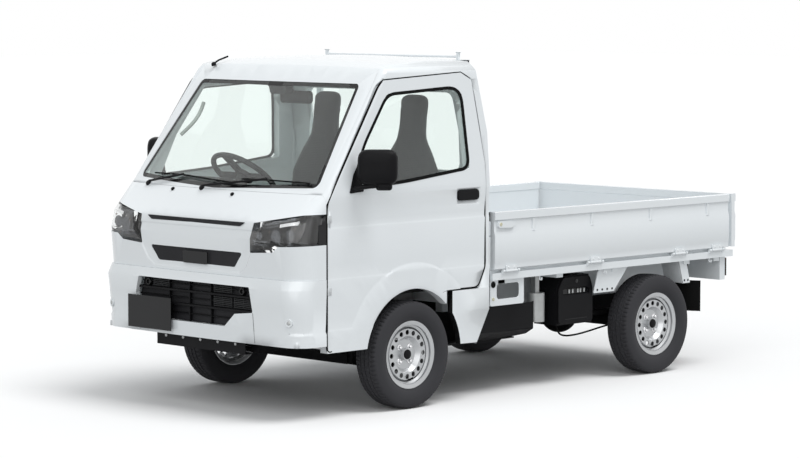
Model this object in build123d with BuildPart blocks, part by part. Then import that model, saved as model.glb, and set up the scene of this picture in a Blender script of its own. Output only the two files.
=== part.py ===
# Kei truck: a small cab-over truck with a drop-side cargo bed.
# Millimetres. The front looks towards -Y, the vehicle's left side is +X, up is +Z.
# The origin is on the ground, midway along the length and the width.
import os
from math import cos, radians, sin, tan

from build123d import *

os.makedirs("parts", exist_ok=True)

# Overall sizes
overall_length = 3395.0
overall_width = 1475.0
overall_height = 1765.0
wheelbase = 1905.0
front_overhang = 825.0
front_track = 1305.0
rear_track = 1300.0

# Wheels and tyres
tyre_radius = 270.0
tyre_width = 147.0
tyre_sides = 48
rim_radius = 166.0
rim_width = 112.0
hub_bore_radius = 30.0
vent_hole_count = 16
vent_hole_radius = 12.5
vent_circle_radius = 118.0

# Clearances
panel_gap = 7.0
seat_gap = 0.3
moving_gap = 6.0

# Door hinges: upright pins in the door's front edge
door_hinge_x = 728.0
door_hinge_y = -1450.0
door_hinge_heights = (630.0, 980.0)
door_pin_radius = 5.0
pin_clearance = 0.05
hinge_pin_radius = 3.0
hinge_half = 50.0
ear_width = 12.0

# Cab shell
wall = 40.0
door_thickness = 50.0
glass_thickness = 6.0
skin_thickness = 22.0
cab_rear_y = -326.0
cab_floor_z = 400.0
seat_deck_z = 575.0
sheet = 30.0
firewall_y = -1465.0
firewall_thickness = 24.0
belt_z = 1098.0
bumper_top_z = 690.0

# Cargo bed
bed_floor_z = 650.0
bed_floor_thickness = 22.0
bed_front_y = -287.0
bed_rear_y = 1640.0
gate_thickness = 30.0
gate_bottom_z = 656.0
gate_top_z = 949.0
rail_height = 40.0
rail_thickness = 34.0
hinge_radius = 8.0
gate_hinge_z = 645.0

# Chassis
rail_x = 340.0
rail_width = 55.0
rail_bottom_z = 310.0
rail_depth = 100.0

# Places worked out from the sizes above
half_length = overall_length / 2
half_width = overall_width / 2
front_axle_y = -half_length + front_overhang
rear_axle_y = front_axle_y + wheelbase
gate_outer_x = half_width - hinge_radius - 0.5
gate_hinge_x = gate_outer_x + 0.2
tail_outer_y = half_length - hinge_radius - 1.0
tail_hinge_y = tail_outer_y + 0.7
kingpin_x = 600.0
mirror_sides = (("left", 1), ("right", -1))


def write(block, name):
    """Label a finished piece and write it to its own STEP file."""
    block.part.label = name
    export_step(block.part, f"parts/{name}.step")


# Cab form
# Columns: height, front on the centre line, bow of the front, half width, corner radius.
cab_plan = (
    (290.0, -1655.0, 22.0, 737.0, 120.0),
    (690.0, -1668.0, 22.0, 737.0, 130.0),
    (880.0, -1690.0, 24.0, 737.0, 140.0),
    (965.0, -1666.0, 24.0, 737.0, 135.0),
    (1110.0, -1545.0, 85.0, 735.0, 52.0),
    (1800.0, -970.0, 2.0, 684.0, 42.0),
)
# The bumper stands a little proud of the cab below its top edge.
bumper_plan = (
    (366.0, -1672.0, 20.0, 737.4, 112.0),
    (560.0, -1690.0, 20.0, 737.4, 114.0),
    (640.0, -1697.0, 20.0, 737.4, 116.0),
    (690.0, -1676.0, 22.0, 737.4, 128.0),
)
roof_front = (-1130.0, 1655.0)
roof_rise = (-1030.0, 1712.0)
roof_shoulder = (-880.0, 1735.0)
roof_crown = (-640.0, 1747.0)
roof_rear = (-400.0, 1740.0)
rear_lean_z = 1364.0
roof_edge_radius = 90.0
roof_top_z = 1750.0
side_ease = 0.4


def plan_outline(height, front, bow, half, corner, inset):
    """One level outline of the cab, bowed at the front and round at its front corners."""
    with BuildSketch(Plane.XY.offset(height)) as outline:
        with BuildLine():
            nose = ThreePointArc(
                (-half + inset, front + bow + inset),
                (0, front + inset),
                (half - inset, front + bow + inset),
            )
            rear = cab_rear_y - inset
            Polyline(nose @ 1, (half - inset, rear), (-half + inset, rear), nose @ 0)
        make_face()
        fillet(outline.vertices().group_by(Axis.Y)[0], max(corner - inset, 8.0))
    return outline.sketch


def cab_form(inset):
    """The closed form of the whole cab, drawn in by an inset on every side."""
    with BuildPart() as form:
        loft([plan_outline(*row, inset) for row in cab_plan], ruled=True)
        with BuildSketch(Plane.YZ):
            with BuildLine():
                lower = Polyline(
                    (roof_rear[0] - inset, roof_rear[1] - inset),
                    (cab_rear_y - inset, rear_lean_z),
                    (cab_rear_y - inset, 200),
                    (-1900, 200),
                    (-1900, roof_front[1] - inset - 100),
                    (roof_front[0], roof_front[1] - inset),
                )
                rise = ThreePointArc(
                    lower @ 1,
                    (roof_rise[0], roof_rise[1] - inset),
                    (roof_shoulder[0], roof_shoulder[1] - inset),
                )
                ThreePointArc(rise @ 1, (roof_crown[0], roof_crown[1] - inset), lower @ 0)
            make_face()
        extrude(amount=900, both=True, mode=Mode.INTERSECT)
        low, high = cab_plan[-2], cab_plan[-1]
        with BuildSketch(Plane.XZ) as front_view:
            with BuildLine():
                Polyline(
                    (-low[3] + inset, 200),
                    (-low[3] + inset, low[0]),
                    (-high[3] + inset, high[0]),
                    (high[3] - inset, high[0]),
                    (low[3] - inset, low[0]),
                    (low[3] - inset, 200),
                    close=True,
                )
            make_face()
            offset(amount=side_ease)
            with Locations((0, roof_top_z - inset - 1000)):
                Rectangle(2000, 2000, mode=Mode.INTERSECT)
            fillet(front_view.vertices().group_by(Axis.Y)[-1], roof_edge_radius)
        extrude(amount=2000, both=True, mode=Mode.INTERSECT)
    return form.part


def bumper_form(inset):
    """The closed form of the front bumper, drawn in by an inset."""
    with BuildPart() as form:
        loft([plan_outline(*row, inset) for row in bumper_plan], ruled=True)
    return form.part


def side_prism(points, near_x, far_x, grow=0.0, corner=0.0):
    """A prism across the vehicle from a side outline given as (y, z) points."""
    with BuildPart() as prism:
        with BuildSketch(Plane.YZ.offset(near_x)) as outline:
            with BuildLine():
                Polyline(*points, close=True)
            make_face()
            if corner:
                fillet(outline.vertices(), corner)
            if grow:
                offset(amount=grow, kind=Kind.INTERSECTION)
        extrude(amount=far_x - near_x)
    return prism.part


def front_prism(points, near_y, far_y, grow=0.0, corner=0.0):
    """A prism along the vehicle from a front outline given as (x, z) points."""
    with BuildPart() as prism:
        with BuildSketch(Plane(origin=(0, near_y, 0), x_dir=(1, 0, 0), z_dir=(0, -1, 0))) as outline:
            with BuildLine():
                Polyline(*points, close=True)
            make_face()
            if corner:
                fillet(outline.vertices(), corner)
            if grow:
                offset(amount=grow, kind=Kind.INTERSECTION)
        extrude(amount=near_y - far_y)
    return prism.part


def block(x0, x1, y0, y1, z0, z1):
    """A plain box between two corners, made apart from any block that is open."""
    centre = ((x0 + x1) / 2, (y0 + y1) / 2, (z0 + z1) / 2)
    return Pos(*centre) * Box(abs(x1 - x0), abs(y1 - y0), abs(z1 - z0), mode=Mode.PRIVATE)


def rod(start, end, radius):
    """A round bar between two points, made apart from any block that is open."""
    path = Vector(*end) - Vector(*start)
    place = Plane(origin=start, z_dir=path)
    bar = Cylinder(radius, path.length, align=(Align.CENTER, Align.CENTER, Align.MIN), mode=Mode.PRIVATE)
    return place * bar


# The doors take up only the sides of the cab: outline from the front, as (x, z).
door_zone_points = ((676.0, 200.0), (900.0, 200.0), (900.0, 1800.0), (628.0, 1800.0), (676.0, 1098.0))
cab_outer = cab_form(0.0)
cab_inner = cab_form(wall)
door_inner = cab_form(door_thickness)
glass_outer = cab_form(3.0)
glass_inner = cab_form(3.0 + glass_thickness)

# Door outline from the side, as (y, z), going round the wheel arch at the bottom.
arch_radius = 333.0
door_front_y = -1470.0
door_rear_y = -356.0
door_sill_z = 330.0
door_heel_z = 578.0
door_points = (
    (door_front_y, door_sill_z),
    (door_front_y, 1045.0),
    (-1388.0, 1175.0),
    (-1084.0, 1612.0),
    (-1048.0, 1640.0),
    (-500.0, 1668.0),
    (-425.0, 1630.0),
    (door_rear_y, 1210.0),
    (door_rear_y, 680.0),
    (-410.0, door_heel_z),
    (-640.0, door_heel_z),
    (-640.0, door_sill_z),
)
window_points = (
    (-1030.0, 1574.0),
    (-560.0, 1598.0),
    (-500.0, 1560.0),
    (-470.0, 1185.0),
    (-924.0, 1138.0),
    (-1310.0, 1114.0),
    (-1210.0, 1330.0),
)
window_corner = 14.0

# Windscreen outline from the front, as (x, z).
screen_points = (
    (-662.0, 1128.0),
    (0.0, 1104.0),
    (662.0, 1128.0),
    (584.0, 1622.0),
    (-584.0, 1622.0),
)
rear_window_points = ((-560.0, 1160.0), (560.0, 1160.0), (540.0, 1560.0), (-540.0, 1560.0))
arch_space = Pos(0, front_axle_y, tyre_radius) * Rot(0, 90, 0) * Cylinder(
    arch_radius, 2 * overall_width, mode=Mode.PRIVATE
)

# Cab corner panel behind each front wheel, as (y, z)
corner_points = ((-600.0, 300.0), (-420.0, 297.0), (-330.0, 460.0), (-330.0, 571.0), (-600.0, 571.0))

# Cab shell: roof, pillars, rear wall, firewall, seat deck and floor.
with BuildPart() as cab_shell:
    add(cab_outer)
    add(cab_inner, mode=Mode.SUBTRACT)
    nose_space = block(-900, 900, -1900, door_front_y - panel_gap, 0, belt_z)
    add(nose_space, mode=Mode.SUBTRACT)
    low_space = block(-900, 900, -1900, cab_rear_y - wall, 0, door_heel_z - panel_gap)
    add(low_space, mode=Mode.SUBTRACT)
    for side in (1, -1):
        hole = side_prism(door_points, side * 560, side * 900, grow=panel_gap)
        zone = front_prism(door_zone_points, 0, -1600, grow=panel_gap)
        add(hole & (zone if side > 0 else mirror(zone, about=Plane.YZ, mode=Mode.PRIVATE)), mode=Mode.SUBTRACT)
    add(block(-640, 640, cab_rear_y - wall - 10, cab_rear_y + 10, 0, 470), mode=Mode.SUBTRACT)
    add(front_prism(screen_points, -1000, -1900, grow=seat_gap, corner=30), mode=Mode.SUBTRACT)
    add(front_prism(rear_window_points, -250, -500, grow=seat_gap, corner=40), mode=Mode.SUBTRACT)
    # Firewall across the front, floor, the deck under the seats and the hinge pillars
    inside = half_width - door_thickness - moving_gap - 11
    riser_y = -1190
    frame_blocks = [
        block(-inside, inside, firewall_y, firewall_y + firewall_thickness, cab_floor_z, belt_z + 4),
        block(-inside, inside, firewall_y, riser_y, cab_floor_z, cab_floor_z + sheet),
        block(-inside, inside, riser_y - sheet, riser_y, cab_floor_z, seat_deck_z + sheet),
        block(-inside, inside, riser_y, cab_rear_y - 10, seat_deck_z, seat_deck_z + sheet),
        block(-inside, inside, cab_rear_y - sheet, cab_rear_y - 10, 470, seat_deck_z),
        block(-inside, 45 - inside, firewall_y, -1410, cab_floor_z, 1040),
        block(inside - 45, inside, firewall_y, -1410, cab_floor_z, 1040),
    ]
    add(Part() + frame_blocks & cab_form(8.0))
    for side in (1, -1):
        corner_panel = side_prism(corner_points, side * (half_width - 34), side * (half_width - 0.5))
        add(corner_panel - arch_space)
        for z in door_hinge_heights:
            x = side * door_hinge_x
            add(block(side * (inside - 10), x, door_hinge_y - 5, door_hinge_y + 5, z - 10, z + 10))
            add(rod((x, door_hinge_y, z - 40), (x, door_hinge_y, z + 40), door_pin_radius))
write(cab_shell, "cab_shell")

# Doors
with BuildPart() as door_slab:
    add(cab_outer)
    add(door_inner, mode=Mode.SUBTRACT)
    add(side_prism(door_points, 560, 900), mode=Mode.INTERSECT)
    add(front_prism(door_zone_points, 0, -1600), mode=Mode.INTERSECT)
    add(arch_space, mode=Mode.SUBTRACT)
    add(side_prism(window_points, 560, 900, grow=seat_gap, corner=window_corner), mode=Mode.SUBTRACT)
    for z in door_hinge_heights:
        x, y = door_hinge_x, door_hinge_y
        add(block(600, x + 7, door_front_y - 5, y + 8, z - 18, z + 18), mode=Mode.SUBTRACT)
        add(rod((x, y, z - 41), (x, y, z + 41), door_pin_radius + pin_clearance), mode=Mode.SUBTRACT)
with BuildPart() as door_pane:
    add(glass_outer)
    add(glass_inner, mode=Mode.SUBTRACT)
    add(side_prism(window_points, 560, 900, corner=window_corner), mode=Mode.INTERSECT)
mirror_y = -1330.0
with BuildPart() as mirror_head:
    with BuildSketch(Plane.XZ.offset(-mirror_y)):
        with Locations((845, 1228)):
            RectangleRounded(132, 176, 30)
    extrude(amount=-62)
    fillet(mirror_head.faces().sort_by(Axis.Y)[0].edges(), 14)
    add(rod((752, mirror_y + 20, 1118), (848, mirror_y + 30, 1160), 12))
    add(rod((735, mirror_y + 30, 1118), (756, mirror_y + 20, 1118), 14))
    add(cab_outer, mode=Mode.SUBTRACT)
for side, sign in mirror_sides:
    for piece, name in ((door_slab, "door"), (door_pane, "door_glass"), (mirror_head, "mirror")):
        with BuildPart() as hung:
            add(piece.part if sign > 0 else mirror(piece.part, about=Plane.YZ, mode=Mode.PRIVATE))
        write(hung, f"{name}_{side}")

# Windscreen and rear window
with BuildPart() as windscreen:
    add(glass_outer)
    add(glass_inner, mode=Mode.SUBTRACT)
    add(front_prism(screen_points, -1000, -1900, corner=30), mode=Mode.INTERSECT)
write(windscreen, "windscreen")
with BuildPart() as rear_window:
    add(front_prism(rear_window_points, -250, -600, corner=40))
    add(glass_outer, mode=Mode.INTERSECT)
    add(glass_inner, mode=Mode.SUBTRACT)
write(rear_window, "rear_window")

# Nose panel between the windscreen and the bumper, with its lamp and grille openings
lamp_points = (
    (418.0, 957.0),
    (404.0, 812.0),
    (560.0, 822.0),
    (600.0, 852.0),
    (900.0, 866.0),
    (900.0, 1013.0),
    (690.0, 1004.0),
)
grille_points = ((-345.0, 808.0), (345.0, 808.0), (281.0, 735.0), (-281.0, 735.0))
slot_points = ((-355.0, 954.0), (355.0, 954.0), (330.0, 940.0), (-330.0, 940.0))


def flipped(points):
    """The same outline on the other side of the centre line."""
    return tuple((-x, z) for x, z in points)


with BuildPart() as nose_panel:
    add(cab_outer)
    add(cab_form(skin_thickness), mode=Mode.SUBTRACT)
    add(block(-900, 900, -1900, door_front_y - panel_gap - 0.5, bumper_top_z + seat_gap, belt_z - 1), mode=Mode.INTERSECT)
    for outline in (lamp_points, flipped(lamp_points)):
        add(front_prism(outline, -1300, -1900, grow=seat_gap, corner=6), mode=Mode.SUBTRACT)
    add(front_prism(grille_points, -1500, -1900, grow=seat_gap, corner=8), mode=Mode.SUBTRACT)
    add(front_prism(slot_points, -1500, -1900, grow=seat_gap, corner=3), mode=Mode.SUBTRACT)
write(nose_panel, "nose_panel")

with BuildPart() as headlamps:
    add(cab_form(2.0))
    add(cab_form(80.0), mode=Mode.SUBTRACT)
    add(block(-900, 900, -1900, door_front_y - panel_gap - 0.5, 780, 1040), mode=Mode.INTERSECT)
    lamps = front_prism(lamp_points, -1300, -1900, corner=6)
    add(lamps + front_prism(flipped(lamp_points), -1300, -1900, corner=6), mode=Mode.INTERSECT)
write(headlamps, "headlamps")

# Front bumper with its air intake, and the black grilles behind the openings
intake_points = (
    (-413.0, 645.0),
    (413.0, 645.0),
    (427.0, 521.0),
    (299.0, 507.0),
    (220.0, 440.0),
    (-430.0, 440.0),
    (-445.0, 560.0),
)
with BuildPart() as front_bumper:
    add(bumper_form(0.0))
    add(bumper_form(26.0), mode=Mode.SUBTRACT)
    add(block(-900, 900, -1900, door_front_y - panel_gap - 0.5, 366, bumper_top_z), mode=Mode.INTERSECT)
    add(front_prism(intake_points, -1500, -1900, grow=seat_gap, corner=8), mode=Mode.SUBTRACT)
    add(block(-700, 700, -1640, -1610, 366, 392))
write(front_bumper, "front_bumper")

louvre_heights = (478.0, 516.0, 554.0, 592.0, 628.0)
with BuildPart() as grilles:
    add(front_prism(grille_points, -1640, -1668, corner=8))
    add(front_prism(slot_points, -1630, -1655, corner=3))
    add(front_prism(intake_points, -1632, -1646, corner=8))
    for height in louvre_heights:
        louvre = block(-440, 440, -1668, -1646, height - 4, height + 4)
        add(louvre & front_prism(intake_points, -1500, -1900, corner=8))
write(grilles, "grilles")

plate_width = 330.0
plate_height = 165.0
plate_centre = (-323.0, 467.0)
with BuildPart() as number_plate:
    x_mid, z_mid = plate_centre
    front = -half_length
    add(block(x_mid - plate_width / 2, x_mid + plate_width / 2, front, front + 3,
              z_mid - plate_height / 2, z_mid + plate_height / 2))
    add(block(x_mid - 100, x_mid + 90, front + 3, front + 40, z_mid - 80, z_mid - 40) - bumper_form(0.0))
write(number_plate, "number_plate")

with BuildPart() as undertray:
    add(block(-330, 330, -1640, -1590, 305, 309))
    add(block(-330, 330, -1640, -1636, 305, 366 - seat_gap))
write(undertray, "undertray")

with BuildPart() as wipers:
    for x, length in ((-180, 420), (220, 430)):
        add(rod((x, -1545, 1085), (x, -1562, 1118), 11))
        add(rod((x, -1560, 1112), (x + length, -1500, 1140), 6))
    add(cab_outer, mode=Mode.SUBTRACT)
write(wipers, "wipers")

# Inside the cab
with BuildPart() as dashboard:
    dash = ((-1440.7, 1088.0), (-1440.7, 760.0), (-1400.0, 740.0), (-1290.0, 860.0), (-1280.0, 1060.0), (-1370.0, 1100.0))
    add(side_prism(dash, -620, 620))
write(dashboard, "dashboard")

seat_x = 320.0
with BuildPart() as seats:
    for x in (-seat_x, seat_x):
        cushion = ((-960.0, 605.3), (-955.0, 720.0), (-470.0, 700.0), (-460.0, 605.3))
        back = ((-590.0, 705.25), (-485.0, 700.92), (-395.0, 1250.0), (-470.0, 1270.0))
        add(side_prism(cushion, x - 240, x + 240, corner=20))
        add(side_prism(back, x - 235, x + 235, corner=20))
        add(side_prism(((-440.0, 1240.0), (-380.0, 1240.0), (-370.0, 1430.0), (-430.0, 1430.0)), x - 120, x + 120, corner=20))
write(seats, "seats")

# Steering wheel on the vehicle's right
steer_centre = (-345.0, -1030.0, 1120.0)
steer_tilt = 50.0
steer_radius = 180.0
steer_up = (0.0, cos(radians(steer_tilt)), sin(radians(steer_tilt)))
steer_plane = Plane(origin=steer_centre, x_dir=(1, 0, 0), z_dir=steer_up)
with BuildPart() as steering_wheel:
    with BuildSketch(Plane(origin=steer_centre, x_dir=steer_up, z_dir=(1, 0, 0))):
        with Locations((0, steer_radius)):
            Circle(14)
    revolve(axis=Axis(steer_centre, steer_up))
    with BuildSketch(steer_plane):
        Circle(52)
        for angle in (0, 180, 270):
            with Locations(Location((0, 0), angle)):
                with Locations((steer_radius / 2, 0)):
                    Rectangle(steer_radius, 34)
    extrude(amount=-10, both=True)
write(steering_wheel, "steering_wheel")
with BuildPart() as steering_column:
    tip = Vector(*steer_centre) - Vector(*steer_up) * 10.3
    foot = Vector(*steer_centre) - Vector(*steer_up) * 460
    add(rod(foot, tip, 34))
    add(dashboard.part, mode=Mode.SUBTRACT)
write(steering_column, "steering_column")

# Chassis frame
rail_top_z = rail_bottom_z + rail_depth
frame_front_y = -1585.0
frame_rear_y = 1570.0
with BuildPart() as chassis_frame:
    for side in (1, -1):
        x = side * rail_x
        add(block(x - rail_width / 2, x + rail_width / 2, frame_front_y, -1180, rail_bottom_z, cab_floor_z - seat_gap))
        add(block(x - rail_width / 2, x + rail_width / 2, -1180, frame_rear_y, rail_bottom_z, rail_top_z))
    for y in (frame_front_y + 30, -1215, 40, 640, frame_rear_y - 30):
        add(block(-rail_x, rail_x, y - 30, y + 30, rail_bottom_z + 30, rail_bottom_z + 88))
write(chassis_frame, "chassis_frame")

with BuildPart() as engine:
    add(block(-250, 250, -930, -390, 250, 560))
    add(block(-90, 90, -390, -20, 250, 360))
    for side in (1, -1):
        add(block(side * 250, side * (rail_x - rail_width / 2 - seat_gap), -700, -660, 340, 380))
write(engine, "engine")

# Front suspension: arms with ball-joint eyes, and strut tops; the knuckles turn about upright kingpins
arm_z = 195.0
strut_x = 538.0
joint_pin_radius = 11.0
with BuildPart() as front_suspension:
    add(block(-305, 305, front_axle_y - 50, front_axle_y + 50, 190, 240))
    for side in (1, -1):
        add(block(side * 300, side * 330, front_axle_y - 40, front_axle_y + 40, 190, rail_bottom_z - seat_gap))
        add(rod((side * 300, front_axle_y, arm_z), (side * (kingpin_x - 8), front_axle_y, arm_z), 13))
        eye = rod((side * kingpin_x, front_axle_y, arm_z - 12), (side * kingpin_x, front_axle_y, arm_z + 12), 25)
        hole = rod((side * kingpin_x, front_axle_y, 150), (side * kingpin_x, front_axle_y, 250), joint_pin_radius + pin_clearance)
        add(eye)
        add(hole, mode=Mode.SUBTRACT)
        add(rod((side * strut_x, front_axle_y, 530), (side * strut_x, front_axle_y, seat_deck_z - seat_gap), 34))
write(front_suspension, "front_suspension")

rim_wall = 4.0
disc_face = 38.0
disc_back = disc_face - 31.0
with BuildPart() as knuckle:
    add(block(580, 612, front_axle_y - 32, front_axle_y + 32, arm_z + 18, 330))
    add(rod((kingpin_x, front_axle_y, arm_z - 15), (kingpin_x, front_axle_y, 230), joint_pin_radius))
    tip = front_track / 2 + disc_back - seat_gap
    add(rod((kingpin_x, front_axle_y, tyre_radius), (tip, front_axle_y, tyre_radius), 28))
    add(rod((strut_x, front_axle_y, 300), (strut_x, front_axle_y, 500), 24))
    add(block(strut_x, kingpin_x, front_axle_y - 16, front_axle_y + 16, 300, 326))

# Wheels: a pressed steel disc with a ring of round holes in a rolled rim, and a tyre
half_tyre = tyre_width / 2
half_rim = rim_width / 2
# Half of the tyre's section, from the bead to the tread: distance from the middle, radius
tyre_profile = (
    (half_rim - 6.3, rim_radius - 11.0),
    (half_rim - 1.5, rim_radius + 5.0),
    (half_tyre, tyre_radius - 48.0),
    (half_tyre - 2.5, tyre_radius - 24.0),
    (half_tyre - 13.5, tyre_radius - 7.0),
    (half_tyre - 29.5, tyre_radius),
)
rim_profile = (
    (-half_rim, rim_radius + 4),
    (-half_rim + 6, rim_radius - 12),
    (-half_rim + 22, rim_radius - 13),
    (-half_rim + 32, rim_radius - 24),
    (half_rim - 26, rim_radius - 24),
    (half_rim - 18, rim_radius - 13),
    (half_rim - 6, rim_radius - 12),
    (half_rim, rim_radius + 4),
)


def tyre_shape():
    """A tyre about the X axis at the origin, as equal flat slices joined into a ring of few faces."""
    half_angle = 180 / tyre_sides
    flat = cos(radians(half_angle))
    section = [(x, r * flat) for x, r in tyre_profile] + [(-x, r * flat) for x, r in reversed(tyre_profile)]
    reach = tyre_radius + 30
    with BuildPart() as tyre_slice:
        with BuildSketch(Plane.XZ):
            with BuildLine():
                Polyline(*section, close=True)
            make_face()
        extrude(amount=reach * tan(radians(half_angle)), both=True)
        with BuildSketch(Plane.YZ):
            with BuildLine():
                side_y = reach * tan(radians(half_angle))
                Polyline((0, 0), (side_y, reach), (-side_y, reach), close=True)
            make_face()
        extrude(amount=tyre_width, both=True, mode=Mode.INTERSECT)
    with BuildPart() as tyre:
        add([Rot(2 * half_angle * i, 0, 0) * tyre_slice.part for i in range(tyre_sides)])
    return tyre.part


def rim_shape():
    """A pressed wheel about the X axis at the origin, its outer side towards +X."""
    with BuildPart() as rim:
        with BuildSketch(Plane.XZ):
            with BuildLine():
                outer = Polyline(*rim_profile)
                inner = Polyline(*[(x, r - rim_wall) for x, r in reversed(rim_profile)])
                Line(outer @ 1, inner @ 0)
                Line(inner @ 1, outer @ 0)
            make_face()
        revolve(axis=Axis.X)
        with BuildSketch(Plane.XZ):
            with BuildLine():
                Polyline(
                    (disc_face - 26, 0),
                    (disc_face - 26, 74),
                    (disc_face - 4, 92),
                    (disc_face - 4, 128),
                    (disc_face - 24, rim_radius - 27),
                    (disc_face - 31, rim_radius - 27),
                    (disc_face - 9, 126),
                    (disc_face - 9, 95),
                    (disc_face - 31, 78),
                    (disc_face - 31, 0),
                    close=True,
                )
            make_face()
        revolve(axis=Axis.X)
        with BuildSketch(Plane.YZ.offset(disc_face + 10)):
            with PolarLocations(vent_circle_radius - 7, vent_hole_count):
                Circle(vent_hole_radius)
        extrude(amount=-60, mode=Mode.SUBTRACT)
        with BuildSketch(Plane.YZ.offset(disc_face - 26)):
            Circle(hub_bore_radius)
        extrude(amount=22)
    return rim.part


tyre_model = tyre_shape()
rim_model = rim_shape()
for name, x, y in (
    ("front_left", front_track / 2, front_axle_y),
    ("front_right", -front_track / 2, front_axle_y),
    ("rear_left", rear_track / 2, rear_axle_y),
    ("rear_right", -rear_track / 2, rear_axle_y),
):
    turn = Rot(0, 0, 0 if x > 0 else 180)
    place = Pos(x, y, tyre_radius) * turn
    for model, kind in ((tyre_model, "tyre"), (rim_model, "rim")):
        with BuildPart() as wheel_piece:
            add(place * model)
        write(wheel_piece, f"{kind}_{name}")
for side, sign in mirror_sides:
    with BuildPart() as hung:
        add(knuckle.part if sign > 0 else mirror(knuckle.part, about=Plane.YZ, mode=Mode.PRIVATE))
    write(hung, f"knuckle_{side}")

# Rear axle, springs and drive
with BuildPart() as rear_axle:
    reach = rear_track / 2 + disc_back - seat_gap
    add(rod((-reach, rear_axle_y, tyre_radius), (reach, rear_axle_y, tyre_radius), 34))
    add(Pos(0, rear_axle_y, tyre_radius) * Sphere(105, mode=Mode.PRIVATE))
    for side in (1, -1):
        start = (side * (reach - 50), rear_axle_y, tyre_radius)
        add(rod(start, (side * reach, rear_axle_y, tyre_radius), 100))
    add(rod((0, rear_axle_y, tyre_radius), (0, -18.5, 298), 32))
write(rear_axle, "rear_axle")

leaf_x = 450.0
with BuildPart() as leaf_springs:
    for side in (1, -1):
        x = side * leaf_x
        for drop, reach in ((0, 500), (8, 380), (16, 260)):
            z = tyre_radius + 72 - drop
            add(block(x - 30, x + 30, rear_axle_y - reach, rear_axle_y + reach, z - 8, z))
        add(block(x - 26, x + 26, rear_axle_y - 30, rear_axle_y + 30, tyre_radius + 34.3, tyre_radius + 52))
        for y in (rear_axle_y - 480, rear_axle_y + 480):
            near = side * (rail_x + rail_width / 2 + seat_gap)
            add(block(near, side * (leaf_x + 30), y - 20, y + 20, tyre_radius + 64, tyre_radius + 100))
write(leaf_springs, "leaf_springs")

# Underbody units
spare_y = 1300.0
spare_z = 480.0
with BuildPart() as exhaust:
    add(rod((-180, 80, 270), (-180, 720, 270), 22))
    add(Pos(-180, 400, 280) * Rot(90, 0, 0) * Cylinder(75, 380, mode=Mode.PRIVATE))
    add(block(-190, -170, 620, 660, 270, rail_bottom_z + 30 - seat_gap))
write(exhaust, "exhaust")
with BuildPart() as fuel_tank:
    add(block(-690, -495, -40, 505, 280, 520))
    fillet(fuel_tank.edges().filter_by(Axis.Y), 30)
    for y in (100, 380):
        add(block(-495, -365 - seat_gap, y - 20, y + 20, 430, 460))
write(fuel_tank, "fuel_tank")
battery_points = ((279.0, 316.0), (560.0, 316.0), (560.0, 507.0), (533.0, 575.0), (318.0, 575.0), (279.0, 507.0))
with BuildPart() as battery_box:
    add(side_prism(battery_points, 495, 655))
    add(block(510, 640, 400, 440, 575, bed_floor_z - bed_floor_thickness - seat_gap))
write(battery_box, "battery_box")
with BuildPart() as canister:
    add(rod((600, 170, 345), (600, 170, 497), 50))
    add(block(585, 615, 155, 185, 497, bed_floor_z - bed_floor_thickness - seat_gap))
write(canister, "canister")
with BuildPart() as engine_cover:
    add(block(-345, 420, -298, 204, 240, 246))
    for side in (1, -1):
        add(block(side * 330, side * 345, -298, 204, 246, rail_bottom_z - seat_gap))
write(engine_cover, "engine_cover")
with BuildPart() as spare_wheel:
    place = Pos(0, spare_y, spare_z) * Rot(0, -90, 0)
    add(place * tyre_model)
    add(place * rim_model)
write(spare_wheel, "spare_wheel")

# Cargo bed
deck_under_z = bed_floor_z - bed_floor_thickness
with BuildPart() as bed_floor:
    add(block(-(half_width - 36), half_width - 36, bed_front_y, bed_rear_y, deck_under_z, bed_floor_z))
write(bed_floor, "bed_floor")
side_hinge_ys = (-157.0, 503.0, 1206.0, 1528.0)
tail_hinge_xs = (-520.0, 520.0)
cross_member_ys = (-200.0, 250.0, 700.0, spare_y, 1560.0)
with BuildPart() as bed_frame:
    for side in (1, -1):
        add(block(side * (half_width - 36), side * (gate_outer_x - 8), bed_front_y, bed_rear_y, 600, 636))
        add(block(side * (rail_x - 25), side * (rail_x + 25), bed_front_y, bed_rear_y, rail_top_z + seat_gap, deck_under_z))
    for y in cross_member_ys:
        add(block(-(half_width - 36), half_width - 36, y - 25, y + 25, deck_under_z - 50, deck_under_z))
    add(block(-(half_width - 40), half_width - 40, 1595, 1640, 470, deck_under_z))
    sill_rear_y = tail_hinge_y - hinge_radius - seat_gap
    add(block(-(gate_outer_x - 8), gate_outer_x - 8, 1640, sill_rear_y, 600, 636))
    add(rod((0, spare_y, spare_z + 34.3), (0, spare_y, 600), 12))
    # Hinge ears with their pins, for the side gates and the tailgate
    for side in (1, -1):
        x = side * gate_hinge_x
        for y in side_hinge_ys:
            for end in (-1, 1):
                near = y + end * (hinge_half + seat_gap)
                far = near + end * ear_width
                add(rod((x, near, gate_hinge_z), (x, far, gate_hinge_z), hinge_radius))
                add(block(x - side * 12, x, near, far, 630, gate_hinge_z))
            start = (x, y - hinge_half - ear_width, gate_hinge_z)
            add(rod(start, (x, y + hinge_half + ear_width, gate_hinge_z), hinge_pin_radius))
    for x in tail_hinge_xs:
        for end in (-1, 1):
            near = x + end * (hinge_half + seat_gap)
            far = near + end * ear_width
            add(rod((near, tail_hinge_y, gate_hinge_z), (far, tail_hinge_y, gate_hinge_z), hinge_radius))
            add(block(near, far, tail_hinge_y - 12, tail_hinge_y, 630, gate_hinge_z))
        start = (x - hinge_half - ear_width, tail_hinge_y, gate_hinge_z)
        add(rod(start, (x + hinge_half + ear_width, tail_hinge_y, gate_hinge_z), hinge_pin_radius))
write(bed_frame, "bed_frame")

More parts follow.
